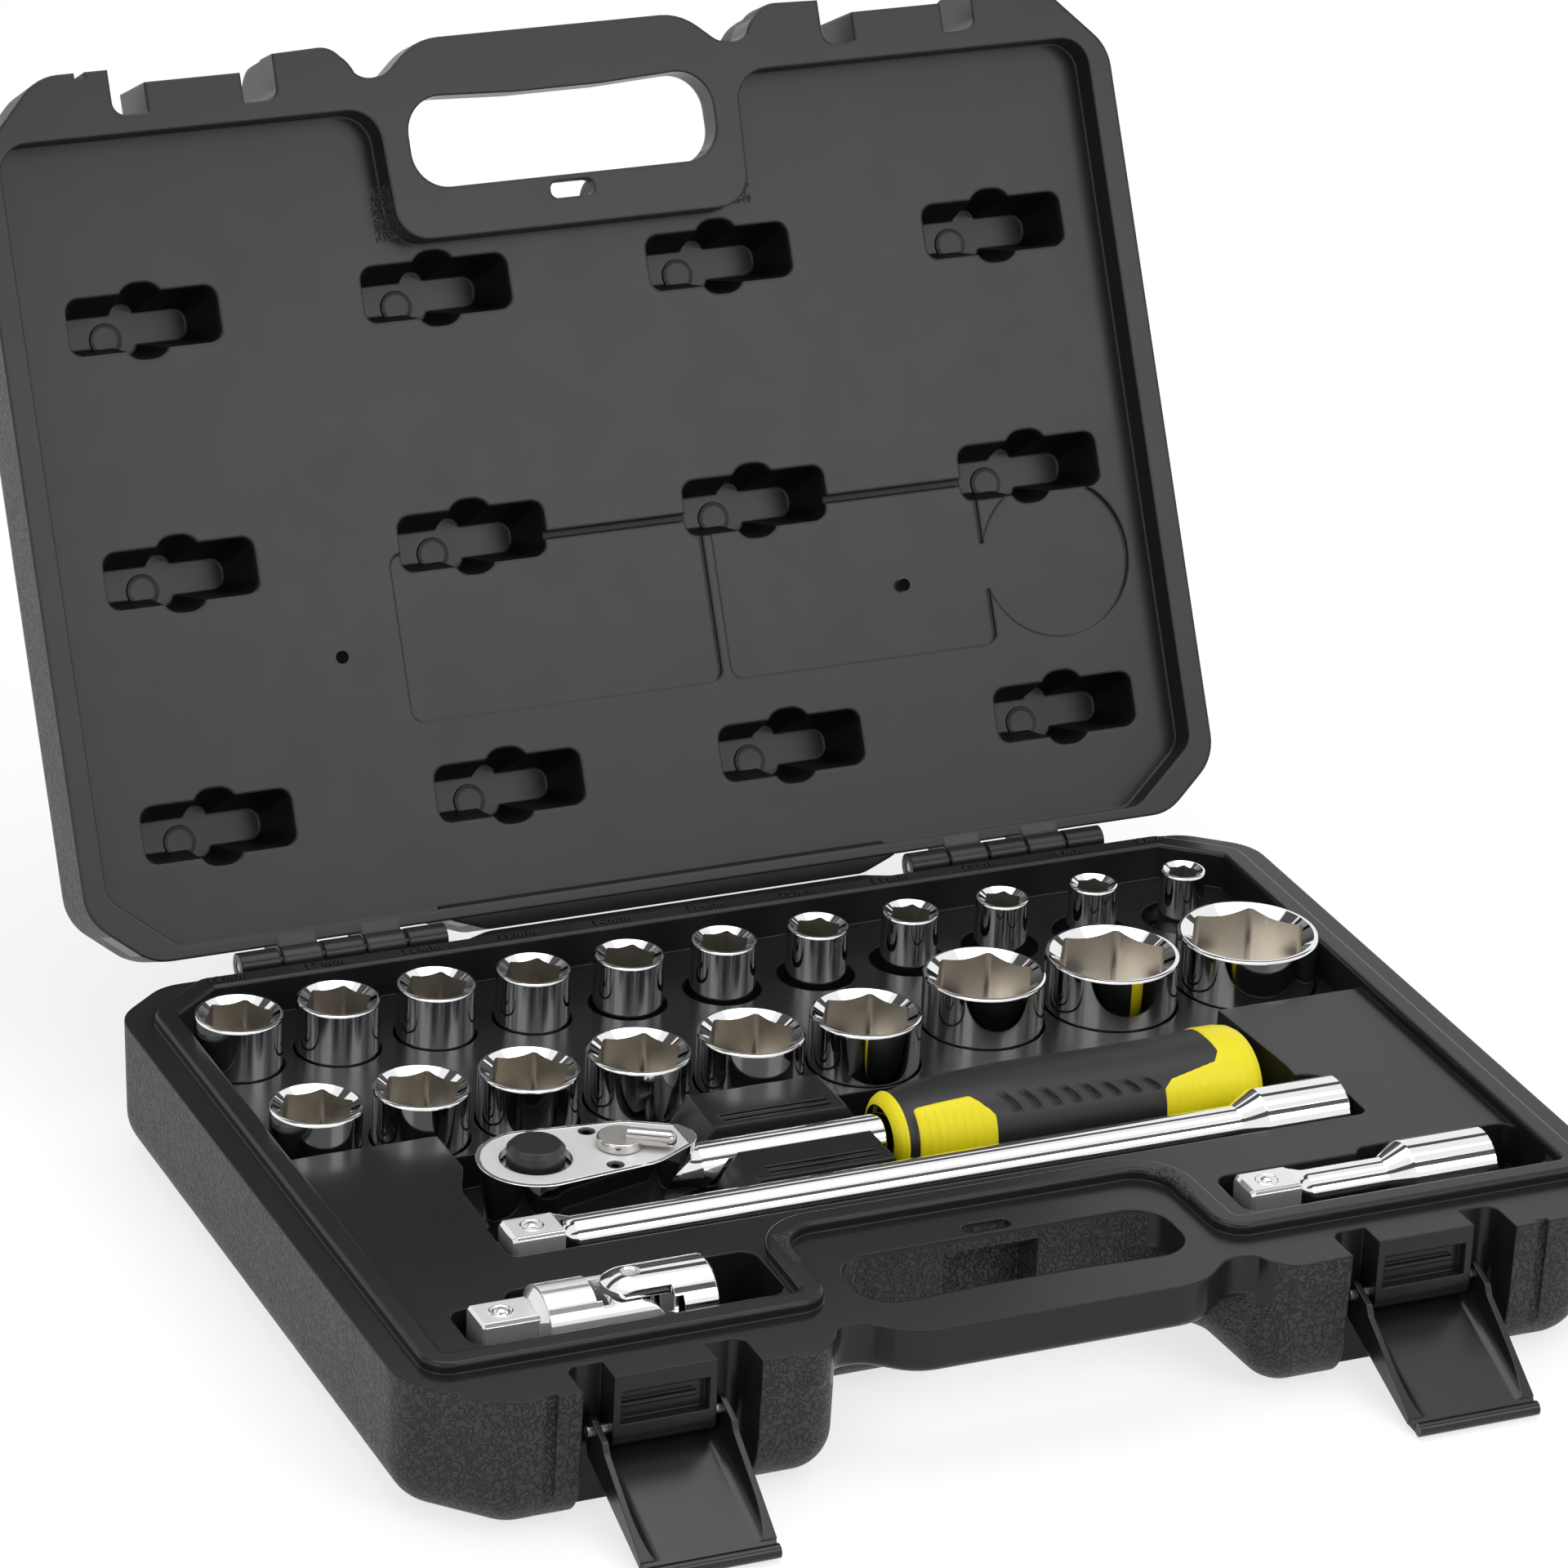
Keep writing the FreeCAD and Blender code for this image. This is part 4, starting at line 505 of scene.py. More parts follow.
# %% [markdown]
# ## Sockets
#
# A socket is turned from bar, broached with a hexagon and a square, and plated.  At its mouth a
# cone leads the bolt in, and where the cone meets the flats it leaves the scalloped edge that
# makes a socket's mouth look like a flower.  The skin therefore goes down the cone only as far
# as the flat lies at that angle, which gives the scallops exactly, with few rings.  A second
# ring close to each rounded edge holds the shading of the long wall straight, since a mirror
# shows the least tilt.

# %% Socket shapes
TURNS = 144
ANGLES = [2 * math.pi * i / TURNS for i in range(TURNS)]
HEX_PLAY = 0.15  # mm that the hexagon is wider than the size it is marked with
HEX_DEEP = 19.0  # mm from the mouth to the hexagon's floor
SQUARE_TOP = 15.5  # mm from the drive end to the top of the square hole
STEP_LOW = 15.0  # mm from the drive end, between which a big socket swells
STEP_HIGH = 18.5
LEAD_SLOPE = 0.62


def polygon_radius(across, sides, corner):
    """Distance from the axis to the flats of a regular hole, its corners cut at a radius."""
    step = 2 * math.pi / sides

    def radius(turn):
        away = turn % step - step / 2
        return min(across / 2 / math.cos(away), corner)

    return radius


def socket_rings(size, radius_low, radius_top, length):
    """Rings of (radius, height) in order round the socket's wall."""
    across = (size + HEX_PLAY) * MM
    hexagon = polygon_radius(across, 6, across * 0.562)
    square = polygon_radius(SQUARE_HOLE * MM, 4, 8.5 * MM)
    edge = 0.75 * MM
    hold = 0.12 * MM
    lead_radius = radius_top - max(0.85 * MM, (radius_top - size * 0.5 * MM) * 0.28)
    floor = length - HEX_DEEP * MM
    square_top = SQUARE_TOP * MM
    bore = min(size * 0.5 * MM - 0.5 * MM, 6.0 * MM)
    rings = []

    def ring(radius, height):
        radii = [radius(a) if callable(radius) else radius for a in ANGLES]
        heights = [height(a) if callable(height) else height for a in ANGLES]
        rings.append(list(zip(radii, heights)))

    def lead_height(turn):
        return length - max(0.0, (lead_radius - hexagon(turn)) * LEAD_SLOPE)

    ring(bore, square_top)
    ring(square, square_top)
    ring(square, 0.6 * MM)
    ring(lambda a: square(a) + 0.5 * MM, 0.0)
    ring(radius_low - edge, 0.0)
    ring(radius_low - edge * 0.3, edge * 0.3)
    ring(radius_low, edge)
    ring(radius_low, edge + hold)
    if abs(radius_low - radius_top) > 0.1 * MM:
        side = math.copysign(0.3 * MM, radius_low - radius_top)
        ring(radius_low, STEP_LOW * MM - hold)
        ring(radius_low, STEP_LOW * MM)
        ring(radius_low - side, (STEP_LOW + 0.6) * MM)
        ring(radius_top + side, (STEP_HIGH - 0.6) * MM)
        ring(radius_top, STEP_HIGH * MM)
        ring(radius_top, STEP_HIGH * MM + hold)
    ring(radius_top, length - edge - hold)
    ring(radius_top, length - edge)
    ring(radius_top - edge * 0.3, length - edge * 0.3)
    ring(radius_top - edge, length)
    ring(lead_radius, length)
    ring(hexagon, lead_height)
    ring(hexagon, floor)
    ring(bore, floor)
    return rings


print("socket rings:", len(socket_rings(18, 12.7 * MM, 12.7 * MM, 38 * MM)))


# %% Make the sockets
WALL_LEAST = 4.1  # mm; a socket's outside is this plus WALL_PER_SIZE times its size
WALL_PER_SIZE = 1.183
BIG_FROM = 27  # sizes from here on are wider than their drive end
BIG_DRIVE_END = 15.5  # mm


def socket_size(node):
    """Millimetres across flats, from a node's name such as socket_08mm."""
    return int(node[7:9])


def make_socket(node):
    size = socket_size(node)
    low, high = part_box(node)
    centre = (low + high) / 2
    wall = (WALL_LEAST + WALL_PER_SIZE * size) / 2 * MM
    widest = (high.x - low.x) / 2
    drive_end = BIG_DRIVE_END * MM if size >= BIG_FROM else widest
    rings = []
    for ring in socket_rings(size, drive_end, wall, high.z - low.z):
        rings.append([
            (centre.x + r * math.cos(a), centre.y + r * math.sin(a), low.z + h)
            for (r, h), a in zip(ring, ANGLES)
        ])
    obj = skin(node + "_plated", rings, chrome, loop=True, angle=28.0)
    obj.data.materials.append(unpolished)
    inner = len(rings) - 3
    for polygon in obj.data.polygons:
        if polygon.index // TURNS in (0, 1, inner, inner + 1, inner + 2):
            polygon.material_index = 1
    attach(obj, node)
    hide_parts(node)


socket_nodes = sorted(n for n in nodes if n.startswith("socket_"))
for node in socket_nodes:
    make_socket(node)
print("sockets:", len(socket_nodes))

# %% [markdown]
# ## Lips round the spring balls
#
# A drive square holds a spring ball in a blind hole.  The metal round the hole is staked
# inwards, which keeps the ball in and leaves a low bright ring.  It is turned here as one small
# skin.  A round mirror shows every facet of a coarse mesh, so these lips and the bars after
# them have ninety-six points to a ring.

# %% Lips of the spring balls
BAR_TURNS = 96
BAR_ANGLES = [2 * math.pi * i / BAR_TURNS for i in range(BAR_TURNS)]
LIP_PROFILE = [(3.5, -0.05), (3.4, 0.10), (3.15, 0.16), (2.9, 0.10), (2.75, -0.10)]
BALL_CARRIERS = (
    ("extension_long", "long_extension"),
    ("extension_short", "short_extension"),
    ("joint", "universal_joint"),
)


def detent_ring(name, body, x, y, z):
    """Lip staked round the spring ball of a drive square, which keeps the ball in."""
    rings = []
    for radius, height in LIP_PROFILE:
        rings.append([
            (x + radius * MM * math.cos(a), y + radius * MM * math.sin(a), z + height * MM)
            for a in BAR_ANGLES
        ])
    obj = skin(name, rings, chrome, angle=60.0)
    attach(obj, body)


bar_axis_z = (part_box("extension_long")[0].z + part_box("extension_long")[1].z) / 2
for name, body in BALL_CARRIERS:
    low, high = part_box(name + "_ball")
    middle = (low + high) / 2
    square_top_z = bar_axis_z + SQUARE / 2 * MM
    detent_ring(name + "_ball_lip", body, middle.x, middle.y, square_top_z)
print("ball lips:", len(BALL_CARRIERS))

# %% [markdown]
# ## Extension bars
#
# Each bar is turned: a drive square, a short cone where the square grows out of the shank, the
# long round shank, and a swollen end with a square hole.  The cone comes from cutting the
# square's corners at a radius that shrinks from ring to ring until only the round is left.

# %% Make the bars
DRIVE_LONG = 15.0  # mm of square
SWOLLEN_LONG = 33.0  # mm from the end of the shank to the end of the bar
CONE_LONG = 7.0  # mm over which the shank swells
HOLE_DEEP = 16.0  # mm


def make_bar(node, body):
    """One bar along X, from its drive square to its swollen end; all stations are in mm."""
    low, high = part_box(node)
    centre = (low + high) / 2
    length = (high.x - low.x) / MM
    male = polygon_radius(SQUARE, 4, 8.25)
    female = polygon_radius(SQUARE_HOLE, 4, 8.6)
    shank, swollen, hold, ease = 6.5, 10.25, 0.15, 0.8
    taper = length - SWOLLEN_LONG
    full = taper + CONE_LONG
    stations = [
        (0.0, lambda a: male(a) - 1.1), (1.1, male), (1.3, male),
        (DRIVE_LONG - 0.2, male), (DRIVE_LONG, male),
        (15.2, lambda a: min(male(a), 8.0)), (16.8, lambda a: min(male(a), 7.2)),
        (19.0, shank), (19.3, shank), (taper - hold, shank), (taper, shank),
        (taper + ease, shank + 0.35), (full - ease, swollen - 0.35),
        (full, swollen), (full + hold, swollen),
        (length - ease - hold, swollen), (length - ease, swollen), (length, swollen - ease),
        (length, lambda a: female(a) + 0.4), (length - 0.4, female), (length - HOLE_DEEP, female),
    ]
    rings = []
    for x, radius in stations:
        ring = []
        for angle in BAR_ANGLES:
            r = radius(angle + math.pi / 4) if callable(radius) else radius
            across, up = r * MM * math.cos(angle), r * MM * math.sin(angle)
            ring.append((low.x + x * MM, centre.y + across, centre.z + up))
        rings.append(ring)
    obj = skin(node + "_plated", rings, chrome, cap_start=True, cap_end=True, angle=25.0)
    obj.data.materials.append(satin_drive)
    for polygon in obj.data.polygons:
        if polygon.center.x < low.x + (DRIVE_LONG + 0.1) * MM:
            polygon.material_index = 1
    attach(obj, body)
    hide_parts(node)
    return obj


bars = [make_bar(node, body) for node, body in BALL_CARRIERS[:2]]
print("bars:", [bar.name for bar in bars])

# %% [markdown]
# ## The two-colour grip
#
# The grip is moulded twice round the ratchet's shank: a dark body with slanting finger grooves,
# and a bright rubber over it at the collar, a ribbed pad and the end.  All of it follows one
# swelling oval.  The dark body is a fine net over that oval, pressed in at the grooves.  Each
# bright part is its own net, which dives under the dark one at its border, so that the border
# comes out as a clean line however the net runs.

# %% The oval and its net
grip_low = Vector(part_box("ratchet_grip")[0])
grip_high = Vector(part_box("ratchet_grip")[1])
grip_axis = (grip_low + grip_high) / 2
GRIP_WIDE = 17.0
GRIP_HIGH = 15.5
GRIP_PROFILE = [
    (0.2, 0.56), (0.5, 0.63), (1.6, 0.71), (3.2, 0.765), (3.9, 0.765), (4.6, 0.755), (8, 0.80),
    (14, 0.86), (24, 0.92), (40, 0.96), (62, 0.945), (78, 0.94), (92, 0.965), (102, 0.99),
    (108, 0.985), (111.5, 0.95), (113.6, 0.87), (114.8, 0.72), (115.2, 0.45),
]


def profile_at(x):
    """Share of the full oval at x mm, on straight lines between the stations."""
    for (x0, k0), (x1, k1) in zip(GRIP_PROFILE, GRIP_PROFILE[1:]):
        if x <= x1:
            t = (x - x0) / (x1 - x0)
            return k0 + (k1 - k0) * t
    return GRIP_PROFILE[-1][1]


def grip_point(x, turn, lift):
    """Point at x mm and turn degrees from the top towards the front, lift mm off the oval."""
    angle = math.radians(turn)
    size = profile_at(x)
    across = math.copysign(abs(math.sin(angle)) ** 0.94, math.sin(angle)) * (GRIP_WIDE * size + lift)
    up = math.copysign(abs(math.cos(angle)) ** 0.94, math.cos(angle)) * (GRIP_HIGH * size + lift)
    return (x * MM, grip_axis.y - across * MM, grip_axis.z + up * MM)


def grip_net(name, stations, turns, lift, keep, material, node):
    """Net of points over the oval; lift gives each point's height, keep drops unwanted faces."""
    verts = []
    for x in stations:
        verts += [grip_point(x, turn, lift(x, turn)) for turn in turns]
    count = len(turns)
    faces = []
    for i in range(len(stations) - 1):
        for j in range(count):
            k = (j + 1) % count
            if keep(stations[i], turns[j]):
                a, b = i * count, (i + 1) * count
                faces.append((a + j, a + k, b + k, b + j))
    end = (len(stations) - 1) * count
    if keep(stations[-1], 0.0):
        faces.append(tuple(range(end, end + count)))
    obj = finish_mesh(name, verts, faces, material, 50.0)
    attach(obj, "ratchet_handle")
    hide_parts(node)
    return obj


def steps(low, high, pitch):
    """Even stations from low to high, about one pitch apart."""
    count = max(1, round((high - low) / pitch))
    return [low + (high - low) * i / count for i in range(count + 1)]


print("grip axis at", [round(v, 4) for v in grip_axis])


# %% Dark body with its finger grooves
GROOVES = 8
GROOVE_DEEP = 0.9  # mm
GROOVE_LEFT = 2.6  # mm of gentle side
GROOVE_RIGHT = 0.5  # mm of steep side
GROOVE_FIRST = 33.2  # mm to the first groove, and from each to the next
GROOVE_PITCH = 6.27
GROOVE_BOTTOM = 58.5  # degrees from the top towards the front


def groove_depth(x, turn):
    """Depth in mm of the eight slanting grooves, gentle to the left and steep to the right."""
    deepest = 0.0
    for i in range(GROOVES):
        top = 29.0 + 1.6 * i
        if not top < turn < GROOVE_BOTTOM:
            continue
        along = (turn - top) / (GROOVE_BOTTOM - top)
        line = GROOVE_FIRST + GROOVE_PITCH * i + 4.3 * (1 - (1 - along) ** 1.7)
        away = x - line
        fade = min(1.0, 6 * along, 6 * (1 - along))
        if -GROOVE_LEFT < away <= 0:
            deepest = max(deepest, GROOVE_DEEP * fade * (1 + away / GROOVE_LEFT))
        elif 0 < away < GROOVE_RIGHT:
            deepest = max(deepest, GROOVE_DEEP * fade * (1 - away / GROOVE_RIGHT))
    return deepest


body_stations = steps(0.2, 30, 0.9) + steps(30.25, 84, 0.25)
body_stations += steps(84.9, 111, 0.9) + steps(111.3, 114.3, 0.3)
body_turns = [-180 + 4 * i for i in range(52)] + [28 + 1.25 * i for i in range(26)]
body_turns += [60.5 + 4 * i for i in range(30)]
dark_body = grip_net(
    "ratchet_grip_body", body_stations, body_turns, lambda x, turn: -groove_depth(x, turn),
    lambda x, turn: True, grip_black, "ratchet_grip",
)
print("dark body:", len(dark_body.data.polygons), "faces")

# %% Bright collar, pad and end
ARC = 0.28  # mm round the oval for one degree
RIB_PITCH = 2.6  # mm
RIB_HIGH = 0.3  # mm
BORDER = 0.9  # mm of net kept outside a bright part's outline, where it dives


def edge_distance(x, turn, outline):
    """Distance in mm inside an outline of (x, turn) corners; negative outside it."""
    px, py = x, turn * ARC
    nearest = 1e9
    inside = False
    corners = [(cx, ct * ARC) for cx, ct in outline]
    for (ax, ay), (bx, by) in zip(corners, corners[1:] + corners[:1]):
        ex, ey = bx - ax, by - ay
        t = max(0.0, min(1.0, ((px - ax) * ex + (py - ay) * ey) / (ex * ex + ey * ey)))
        nearest = min(nearest, math.hypot(px - ax - t * ex, py - ay - t * ey))
        if (ay > py) != (by > py) and px < ax + (py - ay) * ex / ey:
            inside = not inside
    return nearest if inside else -nearest


def eased(value, low, high):
    """A smooth step from nought at low to one at high."""
    t = max(0.0, min(1.0, (value - low) / (high - low)))
    return t * t * (3 - 2 * t)


COLLAR = [(-5, -220), (3.9, -220), (3.9, 220), (-5, 220)]
PAD = [(8.2, 33), (23.0, 33), (28.2, 57), (28.2, 96), (26.0, 128), (8.2, 128)]
END = [
    (130, -220), (102.2, -220), (102.2, -60), (102.6, 0), (103.4, 26), (100.6, 41), (86.0, 52.5),
    (84.0, 60), (84.0, 138), (89, 158), (102.2, 170), (102.2, 220), (130, 220),
]


def ribs(x, turn, low, high, first, last):
    """Ring ribs between two stations, fading out towards two turns."""
    there = eased(x, first, first + 1.5) * (1 - eased(x, last - 1.5, last))
    there *= eased(turn, low, low + 12) * (1 - eased(turn, high - 12, high))
    return RIB_HIGH * there * (0.5 + 0.5 * math.cos(2 * math.pi * (x - first) / RIB_PITCH))


def bright_part(name, outline, corner, first, last, ribbed):
    """One bright part: its net stands proud inside the outline and dives at its border."""

    def lift(x, turn):
        inside = edge_distance(x, turn, outline) + corner
        return -0.45 + 0.72 * eased(inside, -0.5, 0.45) + ribs(x, turn, *ribbed)

    def keep(x, turn):
        return edge_distance(x, turn, outline) + corner > -BORDER

    turns = [-180 + 2 * i for i in range(180)]
    stations = steps(first, last, 0.35)
    return grip_net(
        name, stations, turns, lift, keep, grip_yellow, "ratchet_grip_inlay"
    )


collar = bright_part("ratchet_grip_collar", COLLAR, 0.0, 0.2, 5.0, (400, 410, 0, 1))
pad = bright_part("ratchet_grip_pad", PAD, 1.5, 4.9, 31.0, (30, 150, 7.6, 29.0))
end_cap = bright_part("ratchet_grip_end", END, 1.5, 80.0, 115.2, (52, 120, 84.0, 108.0))
print("bright parts:", [len(p.data.polygons) for p in (collar, pad, end_cap)])

# %% [markdown]
# ## Small moulded marks
#
# The lid's deep dimples show the round feet that push the moulding off its tool, and the panel
# has two pin holes.  The rim behind the sockets carries each socket's size, raised a little in
# the plastic, so that it is felt more than seen.  Lettering of this kind is generic.

# %% Places in the lid
LID_PANEL = 9.5  # mm from the rim down to the panel
DIMPLE_DEEP = 22.0  # mm from the panel down to a dimple's floor
DIMPLE_X = [1.9 + 91.45 * (i - 1.5) for i in range(4)]
DIMPLE_S = [41.4 + 74.65 * i for i in range(3)]


def lid_matrix(x, reach, height):
    """Frame on the lid's inside: X along the hinge, Y away from it, Z out towards the viewer."""
    along = Vector((0, -math.cos(lid_angle), math.sin(lid_angle)))
    out = Vector((0, -math.sin(lid_angle), -math.cos(lid_angle)))
    place = hinge_place + along * (reach * MM) + out * (height * MM) + Vector((x * MM, 0, 0))
    return Matrix.Translation(place) @ Matrix((Vector((1, 0, 0)), along, out)).transposed().to_4x4()


print("lid panel middle:", [round(v, 3) for v in lid_matrix(0, 130, -LID_PANEL).translation])


# %% Ejector marks and pin holes
def ring_profile(name, places, profile, material, turns=32):
    """Turned rings at several places of the lid, as one object."""
    verts = []
    faces = []
    for place in places:
        start = len(verts)
        for radius, height in profile:
            for i in range(turns):
                angle = 2 * math.pi * i / turns
                across, up = radius * MM * math.cos(angle), radius * MM * math.sin(angle)
                verts.append(tuple(place @ Vector((across, up, height * MM))))
        for ring in range(len(profile) - 1):
            for i in range(turns):
                k = (i + 1) % turns
                a = start + ring * turns
                faces.append((a + i, a + k, a + turns + k, a + turns + i))
        last = start + (len(profile) - 1) * turns
        faces.append(tuple(range(last, last + turns)))
    obj = finish_mesh(name, verts, faces, material, 50.0)
    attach(obj, "case_lid")


mark_profile = [(5.0, -0.05), (4.85, 0.30), (4.55, 0.38), (4.25, 0.30), (4.1, 0.10), (0.4, 0.06)]
mark_places = [
    lid_matrix(x - 5.6, s - 2.4, -LID_PANEL - DIMPLE_DEEP) for x in DIMPLE_X for s in DIMPLE_S
]
ring_profile("lid_ejector_marks", mark_places, mark_profile, lid_plastic)
# The pin holes are flat discs with a low lip, coloured near black as painted shade for the depth of
# each hole.
pin_hole_shade_material, tree, shader = new_material("pin_hole_painted_shade", (0.002, 0.002, 0.002), 0.8)[:3]
shader.inputs["Specular IOR Level"].default_value = 0.05
hole_profile = [(1.9, -0.02), (1.75, 0.10), (1.5, 0.05), (1.45, 0.03), (0.3, 0.02)]
hole_places = [lid_matrix(x, s, -LID_PANEL) for x, s in ((-90.0, 85.7), (91.8, 85.0))]
ring_profile("lid_pin_holes", hole_places, hole_profile, pin_hole_shade_material)
print("marks:", len(mark_places), "pin holes:", len(hole_places))

# %% [markdown]
# ## Walls between the hinges
#
# Between the two hinges the back walls of both halves stand out nearly as far as the hinge
# axis.  In the open case they almost meet: a thin gap, and a small wedge at either end, still
# show light.  Each wall is a shallow swelling with slanting ends, skinned as a stack of
# outlines from the rim down, and it dies away into the wall behind it.

# %% Make the back walls
WALL_HALF = 71.5  # mm from the middle to the foot of each slanting end
FACE_HALF = 58.5  # mm from the middle to the end of the flat face
FACE_PLACE = 0.2  # mm in front of the hinge axis
UPPER = 14.0  # mm below the rim, down to which the wall reaches less far forward


def back_wall(name, body, material, place, rim, heel, mirrored):
    """Swelling between the hinges; place turns (x, reach, depth) in mm into the model's frame.

    Below the rim its face slants back by the heel.  A mirrored place turns the faces over.
    """
    steps_down = [
        (rim + 0.0, 0.4), (rim + 0.15, 0.15), (rim + 0.3, 0.0), (rim + 0.8, -heel),
        (23.0, -heel), (25.0, 0.25 - heel), (27.5, 1.1 - heel), (29.5, 2.8 - heel),
        (31.0, 5.0 - heel), (32.2, 8.0), (33.2, 12.6),
    ]
    rings = []
    for depth, inset in steps_down:
        face = FACE_PLACE + inset
        end = max(inset, 0.0)
        side = WALL_HALF - end
        flat = FACE_HALF - end
        back = 6.0 if depth < UPPER else 14.0
        right_half = [
            (side + 0.3, back), (side, 4.4 + end), (side - 1.5, 3.7 + end),
            (flat + 3.0, face + 0.35), (flat + 1.0, face), (flat, face),
        ]
        outline = [(-x, reach) for x, reach in right_half] + right_half[::-1]
        rings.append([tuple(place(x, reach, depth)) for x, reach in outline])
    obj = skin(name, rings, material, cap_start=True, cap_end=True, angle=40.0)
    if mirrored:
        obj.data.flip_normals()
    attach(obj, body)
    return obj


def base_place(x, reach, depth):
    """Point x mm along the hinge, reach mm in front of it and depth mm below the base's rim."""
    return Vector((x * MM, hinge_y - reach * MM, rim_z - depth * MM))


def lid_place(x, reach, depth):
    """The same point of the lid, measured from its own rim."""
    return lid_matrix(x, reach, -depth).translation


base_wall = back_wall(
    "base_back_wall", "case_base", base_plastic, base_place, rim=0.1, heel=1.4, mirrored=False
)
lid_wall = back_wall(
    "lid_back_wall", "case_lid", lid_plastic, lid_place, rim=0.4, heel=0.0, mirrored=True
)
print("back walls:", base_wall.name, lid_wall.name)


# %% Raised sizes on the rim
RING_HIGH = 3.3  # mm that the seal ring stands above the rim
MARK_REACH = 12.3  # mm in front of the hinge axis
MARK_SHIFT = 7.0  # mm that a size stands to the right of its socket
MARK_SHIFT_LAST = 4.5


def size_mark(size, x, reach):
    """The size as raised letters that lie on the rim's ring."""
    curve = bpy.data.curves.new("size_mark_%02d" % size, "FONT")
    curve.body = "%dmm" % size
    curve.size = 4.2 * MM
    curve.space_character = 1.25
    curve.align_x = "CENTER"
    curve.align_y = "CENTER"
    curve.extrude = 0.30 * MM
    curve.bevel_depth = 0.10 * MM
    curve.resolution_u = 3
    text = bpy.data.objects.new("size_mark_text", curve)
    text.location = (x, hinge_y - reach * MM, rim_z + RING_HIGH * MM + 0.1 * MM)
    bpy.context.scene.collection.objects.link(text)
    bpy.context.view_layer.update()
    depsgraph = bpy.context.evaluated_depsgraph_get()
    mesh = bpy.data.meshes.new_from_object(text.evaluated_get(depsgraph))
    mesh.transform(text.matrix_world)
    bpy.data.objects.remove(text)
    obj = bpy.data.objects.new("size_mark_%02d" % size, mesh)
    bpy.context.scene.collection.objects.link(obj)
    mesh.materials.clear()
    mesh.materials.append(base_plastic)
    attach(obj, "case_base")


back_row = [node for node in socket_nodes if socket_size(node) <= 18]
for node in back_row:
    low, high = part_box(node)
    shift = MARK_SHIFT_LAST * MM if node == "socket_08mm" else MARK_SHIFT * MM
    size_mark(socket_size(node), (low.x + high.x) / 2 + shift, MARK_REACH)
print("size marks:", len(back_row))

# %% [markdown]
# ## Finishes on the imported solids
#
# Pieces whose solid already has the right shape keep it and only take a finish.  The solids
# that finer pieces stand for are not shown, and are left as they are.

# %% Finish the solids
finishes = {
    base_plastic: ["base_shell"],
    lid_plastic: ["lid_shell"],
    latch_plastic: ["latch_left", "latch_right"],
    chrome_cad: [
        "extension_long_ball", "extension_short_ball", "joint_socket_fork", "joint_cross",
        "joint_ball", "ratchet_body",
    ],
    satin_plate: ["ratchet_cover_plate"],
    satin_drive: ["joint_drive_fork"],
    lever_metal: ["ratchet_selector_lever"],
    screw_black: ["ratchet_plate_screws"],
    button_plastic: ["ratchet_release_button"],
    works_steel: [
        "hinge_pin_left", "hinge_pin_right", "latch_pin_left", "latch_pin_right",
        "ratchet_drive_gear", "ratchet_pawl", "ratchet_pawl_spring", "ratchet_release_spring",
        "ratchet_release_ball",
    ],
}
for material, names in finishes.items():
    for name in names:
        nodes[name].data.materials.clear()
        nodes[name].data.materials.append(material)
print("finished solids:", sum(len(names) for names in finishes.values()))

# %% [markdown]
# ## Floor and light
#
# The object lies on a plain white sweep.  White surroundings are what a studio builds round
# chrome: the metal mirrors them, and the black case draws the dark bands in it.  The
# floor's material adds white only for rays that look at it, so its brightness is not carried
# on to the object, and the soft shadow stays on it.


# %% Floor and surroundings
def seen_rays(tree):
    """One for camera, mirror and glass rays, nought for the rays that carry light."""
    path = tree.nodes.new("ShaderNodeLightPath")
    seen = math_node(tree, "MAXIMUM", path.outputs["Is Camera Ray"], path.outputs["Is Glossy Ray"])
    return math_node(tree, "MAXIMUM", seen, path.outputs["Is Transmission Ray"])


def mix_shaders(tree, factor, unseen, seen):
    """One shader for rays that carry light, another for those that look."""
    mix = tree.nodes.new("ShaderNodeMixShader")
    feed(tree, factor, mix.inputs[0])
    tree.links.new(unseen, mix.inputs[1])
    tree.links.new(seen, mix.inputs[2])
    return mix.outputs[0]


def sheet(name, wide, high):
    """Mesh of one flat rectangle round the origin."""
    mesh = bpy.data.meshes.new(name)
    x, y = wide / 2, high / 2
    mesh.from_pydata([(-x, -y, 0), (x, -y, 0), (x, y, 0), (-x, y, 0)], [], [(0, 1, 2, 3)])
    return mesh


FLOOR_WIDE = 24.0
floor_mesh = sheet("floor", FLOOR_WIDE, FLOOR_WIDE)
floor = bpy.data.objects.new("floor", floor_mesh)
bpy.context.scene.collection.objects.link(floor)
floor.location.z = min(cad_box[0][2], 0.0) - 0.2 * MM

floor_material = bpy.data.materials.new("pale_floor")
floor_material.use_nodes = True
floor_tree = floor_material.node_tree
floor_shader = floor_tree.nodes["Principled BSDF"]
floor_shader.inputs["Base Color"].default_value = (0.85, 0.85, 0.85, 1)
floor_shader.inputs["Roughness"].default_value = 0.9
seen_floor = floor_tree.nodes.new("ShaderNodeBsdfPrincipled")
seen_floor.inputs["Base Color"].default_value = (0.30, 0.30, 0.30, 1)
seen_floor.inputs["Roughness"].default_value = 1.0
seen_floor.inputs["Specular IOR Level"].default_value = 0.0
seen_floor.inputs["Emission Color"].default_value = (1, 1, 1, 1)
seen_floor.inputs["Emission Strength"].default_value = 0.74
floor_out = floor_tree.nodes["Material Output"]
floor_mix = mix_shaders(
    floor_tree, seen_rays(floor_tree), floor_shader.outputs[0], seen_floor.outputs[0]
)
floor_tree.links.new(floor_mix, floor_out.inputs["Surface"])
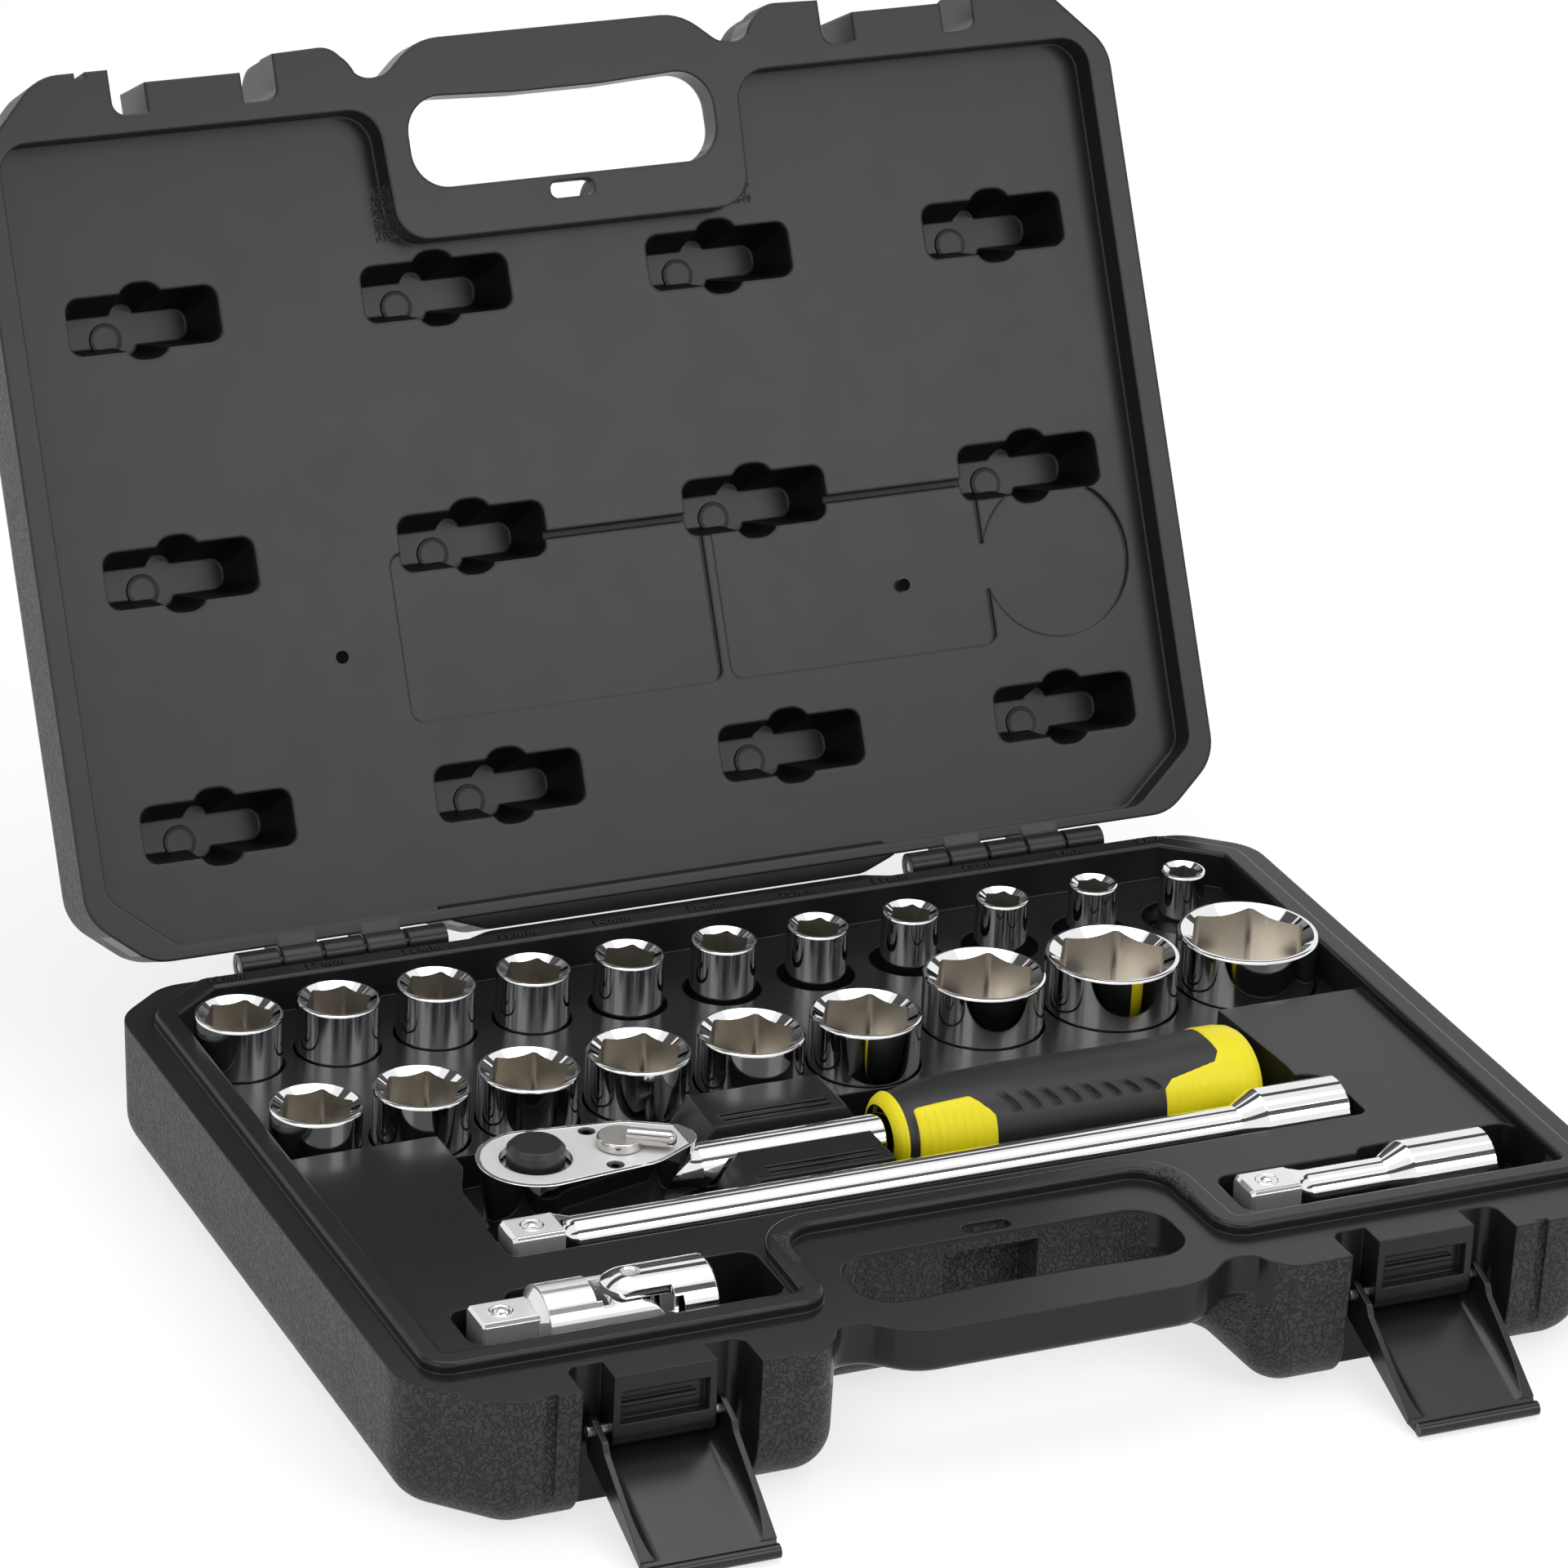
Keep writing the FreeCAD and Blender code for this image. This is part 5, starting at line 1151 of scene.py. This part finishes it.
floor_mesh.materials.append(floor_material)

world = bpy.data.worlds.new("studio")
bpy.context.scene.world = world
world.use_nodes = True
world_tree = world.node_tree
background = world_tree.nodes["Background"]
background.inputs["Color"].default_value = (1, 1, 1, 1)
background.inputs["Strength"].default_value = 0.55
seen_world = world_tree.nodes.new("ShaderNodeBackground")
seen_world.inputs["Color"].default_value = (1, 1, 1, 1)
world_mix = mix_shaders(
    world_tree, seen_rays(world_tree), background.outputs[0], seen_world.outputs[0]
)
world_tree.links.new(world_mix, world_tree.nodes["World Output"].inputs["Surface"])
print("floor and world ready")


# %% Softboxes
def softbox(name, place, target, size, power):
    """Rectangular lamp at a place, turned towards a target."""
    light = bpy.data.lights.new(name, "AREA")
    light.shape = "RECTANGLE"
    light.size, light.size_y = size
    light.energy = power
    obj = bpy.data.objects.new(name, light)
    bpy.context.scene.collection.objects.link(obj)
    obj.location = place
    obj.rotation_euler = (Vector(target) - Vector(place)).to_track_quat("-Z", "Y").to_euler()


softbox("overhead", (0.1, 0.1, 1.7), (0, 0, 0), (1.6, 1.2), 12.0)
softbox("left_front", (-1.5, -1.0, 1.0), (0, 0, 0.05), (0.9, 1.2), 6.0)
softbox("right_front", (0.95, -1.60, 1.70), (0, 0.1, 0.12), (1.2, 1.2), 15.0)
print("softboxes ready")

# %% [markdown]
# ## Dark cards
#
# Chrome in an all-white room looks like white paint.  A dark card on either side of the lamps
# is mirrored as a fine dark line along every round bar, and that line is what shows the metal.
# The cards are seen by mirror rays alone, so they cast no shadow and take no light away.

# %% Dark cards
card_black = new_material("card_black", (0.08, 0.08, 0.08), 0.8)[0]


def dark_card(name, place, size, tilt):
    """A strip that only mirrors see."""
    mesh = sheet(name, *size)
    mesh.materials.append(card_black)
    obj = bpy.data.objects.new(name, mesh)
    bpy.context.scene.collection.objects.link(obj)
    obj.location = place
    obj.rotation_euler = (math.radians(tilt), 0, 0)
    obj.visible_camera = False
    obj.visible_diffuse = False
    obj.visible_transmission = False
    obj.visible_shadow = False


dark_card("card_front", (0.5, -0.84, 1.24), (5.0, 0.40), 34)
dark_card("card_back", (0.5, 0.84, 1.24), (5.0, 0.36), -34)
print("dark cards ready")

# %% [markdown]
# ## Camera
#
# A long lens from the front left, a little above the case and rolled by a few degrees.  Its
# directions are built from three angles, which is easier to adjust than a matrix.

# %% Camera
AZIMUTH = math.radians(24.86)
ELEVATION = math.radians(24.61)
ROLL = math.radians(2.74)
LENS = 164.25
CAMERA_PLACE = (-0.7804, -1.6206, 0.9611)
level = math.cos(ELEVATION)
forward = Vector((math.sin(AZIMUTH) * level, math.cos(AZIMUTH) * level, -math.sin(ELEVATION)))
right = Vector((math.cos(AZIMUTH), -math.sin(AZIMUTH), 0))
up = right.cross(forward)
rolled_right = right * math.cos(ROLL) + up * math.sin(ROLL)
rolled_up = up * math.cos(ROLL) - right * math.sin(ROLL)
camera_data = bpy.data.cameras.new("camera")
camera_data.sensor_width = 36.0
camera_data.lens = LENS
camera_data.clip_end = 50.0
camera = bpy.data.objects.new("camera", camera_data)
bpy.context.scene.collection.objects.link(camera)
matrix = Matrix((rolled_right, rolled_up, -forward)).transposed().to_4x4()
matrix.translation = Vector(CAMERA_PLACE)
camera.matrix_world = matrix
bpy.context.scene.camera = camera
bpy.context.scene.view_settings.view_transform = "Standard"
print("camera at", [round(v, 3) for v in camera.location])
